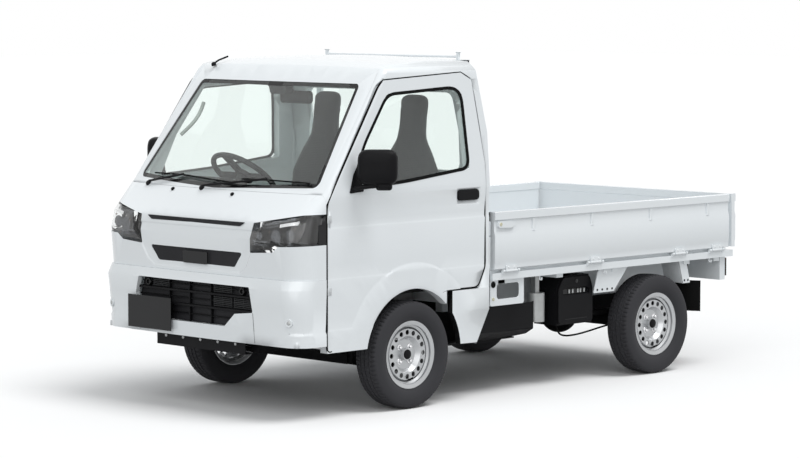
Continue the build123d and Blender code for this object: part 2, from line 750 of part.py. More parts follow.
with BuildPart() as guard_frame:
    for side in (1, -1):
        add(block(side * 660, side * 700, -312, bed_front_y - seat_gap, 470, 1725))
        add(rod((side * 486, -300, 1700), (side * 486, -300, overall_height), 12))
    add(block(-700, 700, -312, bed_front_y - seat_gap, 1690, 1725))
    add(block(-700, 700, -312, bed_front_y - seat_gap, 660, gate_top_z))
write(guard_frame, "guard_frame")

side_gate_front_y = bed_front_y + panel_gap
side_gate_rear_y = bed_rear_y - panel_gap
with BuildPart() as side_gate:
    outer = gate_outer_x
    add(block(outer - gate_thickness, outer, side_gate_front_y, side_gate_rear_y, gate_bottom_z, gate_top_z - 2))
    add(block(outer - rail_thickness, outer, side_gate_front_y, side_gate_rear_y, gate_top_z - rail_height, gate_top_z))
    for y in side_hinge_ys:
        start, end = (gate_hinge_x, y - hinge_half, gate_hinge_z), (gate_hinge_x, y + hinge_half, gate_hinge_z)
        add(rod(start, end, hinge_radius))
        add(block(outer - 12, outer, y - hinge_half, y + hinge_half, gate_hinge_z, gate_bottom_z))
        add(rod(start, end, hinge_pin_radius + pin_clearance), mode=Mode.SUBTRACT)
for side, sign in mirror_sides:
    with BuildPart() as hung:
        add(side_gate.part if sign > 0 else mirror(side_gate.part, about=Plane.YZ, mode=Mode.PRIVATE))
    write(hung, f"side_gate_{side}")

with BuildPart() as tailgate:
    outer = tail_outer_y
    add(block(-half_width + 8, half_width - 8, outer - gate_thickness, outer, gate_bottom_z, gate_top_z - 2))
    add(block(-half_width + 8, half_width - 8, outer - rail_thickness, outer, gate_top_z - rail_height, gate_top_z))
    for x in tail_hinge_xs:
        start, end = (x - hinge_half, tail_hinge_y, gate_hinge_z), (x + hinge_half, tail_hinge_y, gate_hinge_z)
        add(rod(start, end, hinge_radius))
        add(block(x - hinge_half, x + hinge_half, outer - 12, outer, gate_hinge_z, gate_bottom_z))
        add(rod(start, end, hinge_pin_radius + pin_clearance), mode=Mode.SUBTRACT)
write(tailgate, "tailgate")

with BuildPart() as tail_lamps:
    for side in (1, -1):
        add(block(side * 500, side * 690, 1640.3, 1664, 490, 590))
write(tail_lamps, "tail_lamps")

with BuildPart() as rear_fenders:
    for side in (1, -1):
        with BuildSketch(Plane.YZ.offset(side * 570)):
            with Locations((rear_axle_y, tyre_radius)):
                Circle(345)
                Circle(335, mode=Mode.SUBTRACT)
            with Locations((rear_axle_y, 670)):
                Rectangle(1000, 400, mode=Mode.INTERSECT)
        extrude(amount=side * 125)
        add(block(side * 570, side * 695, rear_axle_y - 30, rear_axle_y + 30, 610, deck_under_z - seat_gap))
write(rear_fenders, "rear_fenders")
with BuildPart() as mud_flaps:
    for side in (1, -1):
        add(block(side * 570, side * 695, spare_y + 25.3, spare_y + 31, 250, 600))
write(mud_flaps, "mud_flaps")
with BuildPart() as antenna:
    add(rod((-712, -1120, 1590), (-690, -900, 1735), 4))
    add(rod((-712, -1120, 1590), (-680, -1120, 1590), 6))
    add(cab_outer, mode=Mode.SUBTRACT)
write(antenna, "antenna")
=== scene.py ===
"""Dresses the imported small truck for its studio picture.

The CAD nodes are the frame: they keep their places and take procedural finishes.
New pieces are numpy surfaces that ride on the frame's bodies: tyres with tread, lamp
insides, glass borders, seals, wheel nuts, seat pads and the small fittings. The pressed panels of
the cab, nose and bumper are copies of the nodes' own triangles, cut and pushed inwards.
All lengths are metres in the frame's own axes: -Y is the front, +X is the vehicle's left.
"""

from __future__ import annotations

import logging
import math
from dataclasses import dataclass
from enum import Enum
from typing import Callable, Sequence

import bmesh
import bpy
import numpy as np
from mathutils import Matrix, Vector

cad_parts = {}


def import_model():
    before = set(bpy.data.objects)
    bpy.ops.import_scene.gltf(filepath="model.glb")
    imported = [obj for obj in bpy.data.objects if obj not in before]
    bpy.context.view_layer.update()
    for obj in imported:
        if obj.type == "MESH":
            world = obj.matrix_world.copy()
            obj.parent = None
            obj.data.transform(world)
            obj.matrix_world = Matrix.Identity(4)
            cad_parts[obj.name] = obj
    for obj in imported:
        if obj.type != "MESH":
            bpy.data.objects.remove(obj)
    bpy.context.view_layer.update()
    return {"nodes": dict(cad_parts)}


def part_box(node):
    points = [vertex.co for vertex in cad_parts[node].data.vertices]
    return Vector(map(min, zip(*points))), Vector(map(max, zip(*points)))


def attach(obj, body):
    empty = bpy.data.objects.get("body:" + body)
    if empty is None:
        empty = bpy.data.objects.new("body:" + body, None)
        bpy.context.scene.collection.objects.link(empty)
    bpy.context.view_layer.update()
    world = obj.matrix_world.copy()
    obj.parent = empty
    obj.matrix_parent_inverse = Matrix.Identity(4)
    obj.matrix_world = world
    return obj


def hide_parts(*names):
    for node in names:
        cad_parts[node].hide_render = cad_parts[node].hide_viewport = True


log = logging.getLogger("kei_truck")

Array = np.ndarray
Colour = tuple[float, float, float]
Point = tuple[float, float, float]

FRONT_AXLE_Y = -0.8725
REAR_AXLE_Y = 1.0325
AXLE_Z = 0.27
MERGE_DISTANCE = 0.00001
CUT_DISTANCE = 0.00005
PRESSED_SHARP = 33.0


class Side(Enum):
    """The vehicle's two sides, with the sign of X on each."""

    LEFT = 1
    RIGHT = -1

    @property
    def word(self) -> str:
        """The side's name as node names spell it."""
        return self.name.lower()


# Shapes


@dataclass
class Shape:
    """Points and faces of one form, before it becomes a mesh.

    Attributes:
        points: Rows of x, y, z.
        faces: Arrays of faces, each with one row a face and one column a corner.
    """

    points: Array
    faces: list[Array]

    def mirrored(self) -> Shape:
        """The same form on the other side of the centre plane, still facing outwards."""
        return Shape(self.points * (-1.0, 1.0, 1.0), [f[:, ::-1] for f in self.faces])

    def on(self, side: Side) -> Shape:
        """The form, drawn on the left, as it is on the given side."""
        return self if side is Side.LEFT else self.mirrored()


def joined(shapes: Sequence[Shape]) -> Shape:
    """Several forms as one, their points stacked and their faces renumbered."""
    starts = np.cumsum([0] + [len(s.points) for s in shapes[:-1]])
    faces = [f + start for s, start in zip(shapes, starts) for f in s.faces]
    return Shape(np.vstack([s.points for s in shapes]), faces)


def grid_shape(grid: Array, wrap_rows: bool = False, wrap_columns: bool = False) -> Shape:
    """A skin over a grid of points: each cell between neighbouring rows and columns is a face.

    Args:
        grid: Points in rows and columns, shape (rows, columns, 3).
        wrap_rows: True if the last row joins the first.
        wrap_columns: True if the last column joins the first.

    Returns:
        The skin, with open ends where it doesn't wrap.
    """
    rows, columns = grid.shape[:2]
    index = np.arange(rows * columns).reshape(rows, columns)
    if wrap_rows:
        index = np.vstack([index, index[:1]])
    if wrap_columns:
        index = np.hstack([index, index[:, :1]])
    corners = [index[:-1, :-1], index[1:, :-1], index[1:, 1:], index[:-1, 1:]]
    return Shape(grid.reshape(-1, 3), [np.stack(corners, axis=-1).reshape(-1, 4)])


def capped(grid: Array) -> Shape:
    """A closed form over a grid whose columns wrap: its first and last rows are filled."""
    skin = grid_shape(grid, wrap_columns=True)
    rows, columns = grid.shape[:2]
    first = np.arange(columns)[None, ::-1]
    last = (np.arange(columns) + (rows - 1) * columns)[None, :]
    return Shape(skin.points, [*skin.faces, first, last])


def axis_frame(direction: Sequence[float]) -> tuple[Array, Array, Array]:
    """Two unit vectors square to a direction, and the direction's own unit vector."""
    along = np.asarray(direction, float) / np.linalg.norm(direction)
    helper = np.array((0.0, 0.0, 1.0)) if abs(along[2]) < 0.9 else np.array((0.0, 1.0, 0.0))
    across = np.cross(helper, along)
    across /= np.linalg.norm(across)
    return across, np.cross(along, across), along


def lathe(
    profile: Sequence[Sequence[float]],
    centre: Sequence[float],
    direction: Sequence[float],
    segments: int = 32,
    solid: bool = True,
) -> Shape:
    """A form of revolution: a point at (a, r) of the profile lies a along the axis and r from it.

    Args:
        profile: Rows of distance along the axis and radius.
        centre: The axis point from which distances are taken.
        direction: The way the axis points.
        segments: Steps round the axis.
        solid: True to fill both ends with flat faces.

    Returns:
        The turned form.
    """
    across, up, along = axis_frame(direction)
    profile = np.asarray(profile, float)
    turn = np.linspace(0, 2 * np.pi, segments, endpoint=False)
    ring = np.cos(turn)[:, None] * across + np.sin(turn)[:, None] * up
    grid = np.asarray(centre, float) + profile[:, 0, None, None] * along + profile[:, 1, None, None] * ring
    return capped(grid) if solid else grid_shape(grid, wrap_columns=True)


def tube(path: Sequence[Sequence[float]], radius: float, sides: int = 12) -> Shape:
    """A round bar along a path: at each point a circle stands square to the path's own direction.

    Args:
        path: Points along the bar.
        radius: The bar's radius.
        sides: Steps round the bar.

    Returns:
        The bar with filled ends.
    """
    path = np.asarray(path, float)
    along = np.gradient(path, axis=0)
    along /= np.linalg.norm(along, axis=1)[:, None]
    spread = np.ptp(path, axis=0)
    helper = np.eye(3)[int(np.argmin(spread))]
    across = np.cross(along, helper)
    across /= np.linalg.norm(across, axis=1)[:, None]
    up = np.cross(along, across)
    turn = np.linspace(0, 2 * np.pi, sides, endpoint=False)[None, :, None]
    grid = path[:, None] + radius * (np.cos(turn) * across[:, None] + np.sin(turn) * up[:, None])
    return capped(grid)


def rounded(outline: Sequence[Sequence[float]], radius: float, steps: int = 5) -> Array:
    """A closed outline with each corner replaced by an arc of about the given radius.

    The arc is a quadratic curve between the two points that lie `radius` before and after
    the corner, with the corner itself as its control point.

    Args:
        outline: Corners in order.
        radius: How far from each corner its curve starts, cut to 0.45 of a short side.
        steps: Points on each curve.

    Returns:
        The rounded outline's points in order.
    """
    corner = np.asarray(outline, float)
    to_last = np.roll(corner, 1, axis=0) - corner
    to_next = np.roll(corner, -1, axis=0) - corner
    last_length = np.linalg.norm(to_last, axis=1)[:, None]
    next_length = np.linalg.norm(to_next, axis=1)[:, None]
    start = corner + to_last / last_length * np.minimum(radius, 0.45 * last_length)
    end = corner + to_next / next_length * np.minimum(radius, 0.45 * next_length)
    t = np.linspace(0, 1, steps)[None, :, None]
    curve = (1 - t) ** 2 * start[:, None] + 2 * t * (1 - t) * corner[:, None] + t**2 * end[:, None]
    return curve.reshape(-1, corner.shape[1])


def slab(
    outline: Array, origin: Sequence[float], first: Sequence[float], second: Sequence[float], depth: float
) -> Shape:
    """A plate: a flat outline in the plane of two vectors, carried along their cross product.

    Args:
        outline: Rows of distance along the first and the second vector.
        origin: Where the outline's own zero lies.
        first: The plane's first unit vector.
        second: The plane's second unit vector.
        depth: How far the plate reaches along first cross second.

    Returns:
        The closed plate.
    """
    a, b = np.asarray(first, float), np.asarray(second, float)
    normal = np.cross(a, b)
    outline = np.asarray(outline, float)
    flat = np.asarray(origin, float) + outline[:, :1] * a + outline[:, 1:] * b
    return capped(np.stack([flat, flat + depth * normal]))


def box_shape(low: Sequence[float], high: Sequence[float]) -> Shape:
    """A plain block between two corners."""
    low, high = np.minimum(low, high), np.maximum(low, high)
    outline = np.array(((low[0], low[1]), (high[0], low[1]), (high[0], high[1]), (low[0], high[1])))
    return slab(outline, (0, 0, low[2]), (1, 0, 0), (0, 1, 0), float(high[2] - low[2]))


def ribbon(outline: Array, width: float) -> tuple[Array, Array]:
    """A closed outline and the same outline drawn in by a width, each point along its own inward normal."""
    before, after = np.roll(outline, 1, axis=0), np.roll(outline, -1, axis=0)
    along = after - before
    along /= np.linalg.norm(along, axis=1)[:, None] + 1e-12
    inward = np.stack([-along[:, 1], along[:, 0]], axis=1)
    area = np.sum(outline[:, 0] * after[:, 1] - after[:, 0] * outline[:, 1])
    return outline, outline + width * np.sign(area) * inward


def make_piece(
    name: str, shape: Shape, finish: Finish, body: str, bevel: float = 0.0, sharp: float = 35.0
) -> bpy.types.Object:
    """Puts a form into the scene as one piece.

    Args:
        name: The piece's name.
        shape: Its points and faces.
        finish: What it is made of or painted with.
        body: The CAD body it rides on.
        bevel: The width of a small bevel on its sharp edges, or 0 for none.
        sharp: Edges that turn by more than this many degrees stay sharp.

    Returns:
        The new object, at the origin.
    """
    mesh = bpy.data.meshes.new(name)
    faces = [row for rows in shape.faces for row in rows.tolist()]
    mesh.from_pydata(shape.points.tolist(), [], faces)
    mesh.validate()
    return place_mesh(mesh, name, finish, body, bevel, sharp)


def place_mesh(
    mesh: bpy.types.Mesh,
    name: str,
    finish: Finish,
    body: str,
    bevel: float = 0.0,
    sharp: float = 35.0,
) -> bpy.types.Object:
    """Puts a ready mesh into the scene as one piece, with the same arguments as make_piece."""
    mesh.shade_smooth()
    mesh.set_sharp_from_angle(angle=math.radians(sharp))
    piece = bpy.data.objects.new(name, mesh)
    bpy.context.scene.collection.objects.link(piece)
    mesh.materials.append(finish.material())
    if bevel:
        modifier = piece.modifiers.new("edge", "BEVEL")
        modifier.width = bevel
        modifier.segments = 2
        modifier.limit_method = "ANGLE"
        modifier.angle_limit = math.radians(sharp)
        modifier.harden_normals = False
    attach(piece, body)
    log.info("piece %s: %d faces", name, len(mesh.polygons))
    return piece


# Finishes


class NodeSheet:
    """One material's node tree, with short calls for what the finishes share."""

    def __init__(self, name: str) -> None:
        """Starts a material with one Principled shader."""
        self.material = bpy.data.materials.new(name)
        self.material.use_nodes = True
        self.tree = self.material.node_tree
        self.shader = self.tree.nodes["Principled BSDF"]
        self.output = self.tree.nodes["Material Output"]
        self.place = self.add("ShaderNodeTexCoord").outputs["Object"]

    def add(self, kind: str) -> bpy.types.Node:
        """A new node of a kind."""
        return self.tree.nodes.new(kind)

    def link(self, source: bpy.types.NodeSocket, target: bpy.types.NodeSocket) -> None:
        """Joins an output to an input."""
        self.tree.links.new(source, target)

    def noise(
        self, scale: float, detail: float = 3.0, stretch: Point = (1.0, 1.0, 1.0)
    ) -> bpy.types.NodeSocket:
        """Noise over the object's own coordinates, as a value from 0 to 1."""
        mapping = self.add("ShaderNodeMapping")
        mapping.inputs["Scale"].default_value = stretch
        self.link(self.place, mapping.inputs["Vector"])
        texture = self.add("ShaderNodeTexNoise")
        texture.inputs["Scale"].default_value = scale
        texture.inputs["Detail"].default_value = detail
        self.link(mapping.outputs["Vector"], texture.inputs["Vector"])
        return texture.outputs["Fac"]

    def spread(self, value: bpy.types.NodeSocket, low: float, high: float) -> bpy.types.NodeSocket:
        """Carries a value's middle range, 0.3 to 0.7, onto low to high."""
        node = self.add("ShaderNodeMapRange")
        node.inputs["From Min"].default_value = 0.3
        node.inputs["From Max"].default_value = 0.7
        node.inputs["To Min"].default_value = low
        node.inputs["To Max"].default_value = high
        self.link(value, node.inputs["Value"])
        return node.outputs["Result"]

    def blend(self, value: bpy.types.NodeSocket, low: Colour, high: Colour) -> bpy.types.NodeSocket:
        """A colour between two, by a value."""
        node = self.add("ShaderNodeMix")
        node.data_type = "RGBA"
        node.inputs["A"].default_value = (*low, 1.0)
        node.inputs["B"].default_value = (*high, 1.0)
        self.link(value, node.inputs["Factor"])
        return node.outputs["Result"]

    def bump(self, height: bpy.types.NodeSocket, depth: float) -> None:
        """Gives the shader a bump of a depth in metres from a height value."""
        node = self.add("ShaderNodeBump")
        node.inputs["Strength"].default_value = 1.0
        node.inputs["Distance"].default_value = depth
        self.link(height, node.inputs["Height"])
        self.link(node.outputs["Normal"], self.shader.inputs["Normal"])


class Finish:
    """What a surface is made of. Each subclass draws its material once and keeps it.

    Attributes:
        label: The material's name.
    """

    label: str

    def material(self) -> bpy.types.Material:
        """The finish's material, made on the first call."""
        found = bpy.data.materials.get(self.label)
        return found if found is not None else self.draw()

    def draw(self) -> bpy.types.Material:
        """Makes the material."""
        raise NotImplementedError


@dataclass(frozen=True)
class Coating(Finish):
    """Paint, plastic, rubber or bare metal with a fine grain.

    Attributes:
        label: The material's name.
        colour: The main colour.
        shade: The colour that the noise mixes in.
        roughness: The lowest roughness.
        roughness_spread: How much the noise adds to it.
        metal: 0 or 1.
        grain: Grains a metre of the bump.
        depth: The bump's depth in metres.
        coat: The clear coat's weight.
        patch: Patches a metre of the colour noise.
        specular: How strongly the bare surface mirrors, 0.5 for common plastics and paints.
    """

    label: str
    colour: Colour
    shade: Colour
    roughness: float
    roughness_spread: float = 0.08
    metal: float = 0.0
    grain: float = 600.0
    depth: float = 0.00004
    coat: float = 0.0
    patch: float = 3.0
    specular: float = 0.5

    def draw(self) -> bpy.types.Material:
        """Colour and roughness from a slow noise, and a bump from a fine one."""
        sheet = NodeSheet(self.label)
        slow = sheet.noise(self.patch, 4.0)
        sheet.link(
            sheet.blend(sheet.spread(slow, 0.0, 1.0), self.colour, self.shade),
            sheet.shader.inputs["Base Color"],
        )
        rough = sheet.spread(
            sheet.noise(self.patch * 4, 3.0), self.roughness, self.roughness + self.roughness_spread
        )
        sheet.link(rough, sheet.shader.inputs["Roughness"])
        sheet.shader.inputs["Metallic"].default_value = self.metal
        sheet.shader.inputs["Specular IOR Level"].default_value = self.specular
        sheet.shader.inputs["Coat Weight"].default_value = self.coat
        sheet.shader.inputs["Coat Roughness"].default_value = 0.06
        sheet.bump(sheet.noise(self.grain, 2.0), self.depth)
        return sheet.material


@dataclass(frozen=True)
class Glazing(Finish):
    """Clear or tinted glass. Shadow and diffuse rays pass straight through it, so the light gets in.

    Attributes:
        label: The material's name.
        tint: The colour that light takes on in one pane.
        roughness: The surface's roughness.
    """

    label: str
    tint: Colour
    roughness: float = 0.0

    def draw(self) -> bpy.types.Material:
        """A transmitting Principled shader, mixed with a transparent one for shadow and diffuse rays."""
        sheet = NodeSheet(self.label)
        sheet.shader.inputs["Base Color"].default_value = (*self.tint, 1.0)
        sheet.shader.inputs["Transmission Weight"].default_value = 1.0
        sheet.shader.inputs["Roughness"].default_value = self.roughness
        sheet.shader.inputs["IOR"].default_value = 1.45
        sheet.bump(sheet.noise(2.0, 1.0), 0.00002)
        clear = sheet.add("ShaderNodeBsdfTransparent")
        clear.inputs["Color"].default_value = (*self.tint, 1.0)
        rays = sheet.add("ShaderNodeLightPath")
        either = sheet.add("ShaderNodeMath")
        either.operation = "MAXIMUM"
        sheet.link(rays.outputs["Is Shadow Ray"], either.inputs[0])
        sheet.link(rays.outputs["Is Diffuse Ray"], either.inputs[1])
        mix = sheet.add("ShaderNodeMixShader")
        sheet.link(either.outputs[0], mix.inputs[0])
        sheet.link(sheet.shader.outputs[0], mix.inputs[1])
        sheet.link(clear.outputs[0], mix.inputs[2])
        sheet.link(mix.outputs[0], sheet.output.inputs["Surface"])
        return sheet.material


@dataclass(frozen=True)
class Weave(Finish):
    """Woven seat cloth: two crossed sets of threads and a soft sheen.

    Attributes:
        label: The material's name.
        thread: The threads' colour.
        gap: The colour between them.
        count: Threads a metre.
    """

    label: str
    thread: Colour
    gap: Colour
    count: float = 700.0

    def draw(self) -> bpy.types.Material:
        """Crossed waves give the threads' height; a slow noise varies the roughness."""
        sheet = NodeSheet(self.label)
        waves = []
        for direction in ("X", "Z"):
            wave = sheet.add("ShaderNodeTexWave")
            wave.bands_direction = direction
            wave.inputs["Scale"].default_value = self.count / 20
            wave.inputs["Distortion"].default_value = 0.6
            sheet.link(sheet.place, wave.inputs["Vector"])
            waves.append(wave.outputs["Fac"])
        both = sheet.add("ShaderNodeMath")
        both.operation = "MULTIPLY"
        sheet.link(waves[0], both.inputs[0])
        sheet.link(waves[1], both.inputs[1])
        sheet.link(sheet.blend(both.outputs[0], self.gap, self.thread), sheet.shader.inputs["Base Color"])
        sheet.link(sheet.spread(sheet.noise(9.0), 0.8, 0.95), sheet.shader.inputs["Roughness"])
        sheet.shader.inputs["Sheen Weight"].default_value = 0.3
        sheet.bump(both.outputs[0], 0.0004)
        return sheet.material


WHITE_PAINT = Coating(
    "white_body_paint", colour=(0.79, 0.825, 0.845), shade=(0.78, 0.816, 0.838), roughness=0.24,
    roughness_spread=0.03, metal=0.0, grain=900.0, depth=0.000001, coat=0.5, patch=1.0,
)
INNER_PAINT = Coating(
    "white_inner_paint", colour=(0.72, 0.75, 0.77), shade=(0.69, 0.72, 0.74), roughness=0.45,
    roughness_spread=0.1, metal=0.0, grain=500.0, depth=0.000006, coat=0.0, patch=3.0,
)
BLACK_PLASTIC = Coating(
    "black_moulded_plastic", colour=(0.006, 0.006, 0.007), shade=(0.010, 0.010, 0.011), roughness=0.38,
    roughness_spread=0.10, metal=0.0, grain=1400.0, depth=0.00004, specular=0.08,
)
GLOSS_BLACK = Coating(
    "gloss_black_trim", colour=(0.004, 0.004, 0.005), shade=(0.006, 0.006, 0.007), roughness=0.14,
    roughness_spread=0.05, metal=0.0, grain=900.0, depth=0.000003, specular=0.3,
)
CABIN_PLASTIC = Coating(
    "dark_cabin_plastic", colour=(0.018, 0.019, 0.020), shade=(0.024, 0.025, 0.027), roughness=0.6,
    roughness_spread=0.12, metal=0.0, grain=1600.0, depth=0.00006, specular=0.3,
)
CHASSIS_PAINT = Coating(
    "black_chassis_paint", colour=(0.006, 0.006, 0.007), shade=(0.010, 0.010, 0.010), roughness=0.5,
    roughness_spread=0.2, metal=0.0, grain=260.0, depth=0.0001, coat=0.0, patch=8.0, specular=0.05,
)
WHEEL_PAINT = Coating(
    "silver_wheel_paint", colour=(0.50, 0.51, 0.52), shade=(0.44, 0.45, 0.46), roughness=0.30,
    roughness_spread=0.1, metal=0.75, grain=900.0, depth=0.000006, coat=0.2, patch=6.0,
)
BRIGHT_METAL = Coating(
    "plated_metal", colour=(0.78, 0.78, 0.79), shade=(0.7, 0.7, 0.71), roughness=0.12, roughness_spread=0.08,
    metal=1.0, grain=700.0, depth=0.000005,
)
SMOKED_METAL = Coating(
    "smoked_reflector", colour=(0.10, 0.105, 0.115), shade=(0.06, 0.062, 0.07), roughness=0.16,
    roughness_spread=0.08, metal=0.9, grain=500.0, depth=0.000008,
)
CAST_METAL = Coating(
    "cast_metal", colour=(0.20, 0.20, 0.21), shade=(0.13, 0.13, 0.135), roughness=0.5, roughness_spread=0.2,
    metal=0.8, grain=220.0, depth=0.0003, coat=0.0, patch=10.0,
)
PLATED_STEEL = Coating(
    "grey_plated_steel", colour=(0.42, 0.43, 0.43), shade=(0.33, 0.34, 0.34), roughness=0.38,
    roughness_spread=0.15, metal=0.7, grain=300.0, depth=0.00006, coat=0.0, patch=9.0,
)
TYRE_RUBBER = Coating(
    "tyre_rubber", colour=(0.007, 0.007, 0.008), shade=(0.011, 0.011, 0.011), roughness=0.60,
    roughness_spread=0.16, metal=0.0, grain=900.0, depth=0.0001, coat=0.0, patch=12.0, specular=0.05,
)
SEAL_RUBBER = Coating(
    "seal_rubber", colour=(0.006, 0.006, 0.006), shade=(0.009, 0.009, 0.009), roughness=0.65,
    roughness_spread=0.1, metal=0.0, grain=700.0, depth=0.00005, specular=0.05,
)
PALE_TRIM = Coating(
    "pale_cabin_trim", colour=(0.50, 0.52, 0.50), shade=(0.46, 0.48, 0.46), roughness=0.55,
    roughness_spread=0.1, metal=0.0, grain=1200.0, depth=0.00004,
)
WINDOW_GLASS = Glazing("green_tinted_glass", (0.93, 0.975, 0.955))
CLEAR_LENS = Glazing("clear_lamp_lens", (0.97, 0.98, 0.98))
RED_LENS = Glazing(
    "red_lamp_lens", tint=(0.75, 0.03, 0.03), roughness=0.05,
)
AMBER_LENS = Glazing(
    "amber_lamp_lens", tint=(0.95, 0.42, 0.04), roughness=0.05,
)
ZINC = Coating(
    "yellow_zinc", colour=(0.55, 0.52, 0.38), shade=(0.45, 0.44, 0.34), roughness=0.32, roughness_spread=0.1,
    metal=0.9, grain=400.0, depth=0.00003,
)
GRILLE_MESH = Coating(
    "grille_mesh_plastic", colour=(0.016, 0.016, 0.018), shade=(0.030, 0.030, 0.033), roughness=0.5,
    roughness_spread=0.1, metal=0.0, grain=260.0, depth=0.0006, specular=0.12,
)
SEAT_CLOTH = Weave(
    "dark_seat_cloth", thread=(0.075, 0.077, 0.082), gap=(0.03, 0.031, 0.034),
)

# Which CAD nodes take each finish.
NODE_FINISHES: tuple[tuple[Finish, str], ...] = (
    (WHITE_PAINT, "cab_shell nose_panel front_bumper bed_frame guard_frame rear_fenders tailgate"),
    (WHITE_PAINT, "side_gate_left side_gate_right door_left door_right"),
    (INNER_PAINT, "bed_floor"),
    (WINDOW_GLASS, "windscreen rear_window door_glass_left door_glass_right"),
    (CLEAR_LENS, "headlamps"),
    (RED_LENS, "tail_lamps"),
    (BLACK_PLASTIC, "grilles undertray wipers antenna battery_box engine_cover mirror_left mirror_right"),
    (GLOSS_BLACK, "number_plate"),
    (CABIN_PLASTIC, "dashboard steering_column steering_wheel"),
    (SEAT_CLOTH, "seats"),
    (
        CHASSIS_PAINT,
        "chassis_frame front_suspension rear_axle leaf_springs fuel_tank knuckle_left knuckle_right",
    ),
    (CAST_METAL, "engine"),
    (PLATED_STEEL, "exhaust canister"),
    (TYRE_RUBBER, "spare_wheel"),
    (SEAL_RUBBER, "mud_flaps"),
    (WHEEL_PAINT, "rim_front_left rim_front_right rim_rear_left rim_rear_right"),
)


def dress_nodes(nodes: dict[str, bpy.types.Object]) -> None:
    """Gives the CAD nodes their finishes.

    Args:
        nodes: The frame's nodes by name.
    """
    for finish, names in NODE_FINISHES:
        for name in names.split():
            nodes[name].data.materials.clear()
            nodes[name].data.materials.append(finish.material())


# The cab's own surface


@dataclass(frozen=True)
class CabSurface:
    """The form of the cab's front, as a function of a point's place across and its height.

    Attributes:
        rows: Height, front on the centre line, bow and half width of each level section.
    """

    rows: tuple[tuple[float, float, float, float], ...] = (
        (0.290, -1.655, 0.022, 0.737),
        (0.690, -1.668, 0.022, 0.737),
        (0.880, -1.690, 0.024, 0.737),
        (0.965, -1.666, 0.024, 0.737),
        (1.110, -1.545, 0.085, 0.735),
        (1.800, -0.970, 0.002, 0.684),
    )

    def front_y(self, x: Array, z: Array) -> Array:
        """Y of the front: the centre line's, plus the bow times the square of x over the half width."""
        rows = np.array(self.rows)
        front, bow, half = (np.interp(z, rows[:, 0], rows[:, k]) for k in (1, 2, 3))
        return front + bow * (x / half) ** 2

    def side_x(self, z: Array) -> Array:
        """Half width of the cab at a height."""
        rows = np.array(self.rows)
        return np.interp(z, rows[:, 0], rows[:, 3])


CAB = CabSurface()


# The cab's pressed sides


def rows_between(z: Array, steps: Sequence[tuple[float, float]]) -> Array:
    """A depth by height: the heights and depths of the steps joined by smooth ramps.

    Each stretch between two neighbouring steps follows 3t^2 - 2t^3, so creases have soft shoulders.
    """
    heights, depths = np.array(steps).T
    index = np.clip(np.searchsorted(heights, z) - 1, 0, len(heights) - 2)
    t = np.clip((z - heights[index]) / (heights[index + 1] - heights[index]), 0, 1)
    t = t * t * (3 - 2 * t)
    return depths[index] + t * (depths[index + 1] - depths[index])


def merged_form(node: str) -> bmesh.types.BMesh:
    """A copy of a node's triangles as one form to edit, with the corners that meet merged."""
    form = bmesh.new()
    form.from_mesh(bpy.data.objects[node].data)
    bmesh.ops.remove_doubles(form, verts=form.verts, dist=MERGE_DISTANCE)
    return form


def cut_faces(
    form: bmesh.types.BMesh, faces: Sequence[bmesh.types.BMFace], point: Point, normal: Point
) -> None:
    """Cuts some faces of a form along a plane."""
    geometry = dict.fromkeys(faces)
    for face in faces:
        geometry.update(dict.fromkeys([*face.edges, *face.verts]))
    bmesh.ops.bisect_plane(form, geom=list(geometry), dist=CUT_DISTANCE, plane_co=point, plane_no=normal)


def corners_of(faces: Sequence[bmesh.types.BMFace]) -> list[bmesh.types.BMVert]:
    """The corners of some faces, each once, in order."""
    return list(dict.fromkeys(vert for face in faces for vert in face.verts))


def pressed_piece(form: bmesh.types.BMesh, name: str, node: str, body: str) -> bpy.types.Object:
    """Makes a white piece of an edited form, to stand for its node.

    Args:
        form: The edited form, which is freed.
        name: The piece's name.
        node: The CAD node that it stands for.
        body: The body it rides on.

    Returns:
        The new piece.
    """
    bmesh.ops.triangulate(form, faces=form.faces[:])
    for face in form.faces:
        face.material_index = 0
    mesh = bpy.data.objects[node].data.copy()
    form.to_mesh(mesh)
    form.free()
    mesh.materials.clear()
    piece = place_mesh(mesh, name, WHITE_PAINT, body, sharp=PRESSED_SHARP)
    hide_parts(node)
    return piece


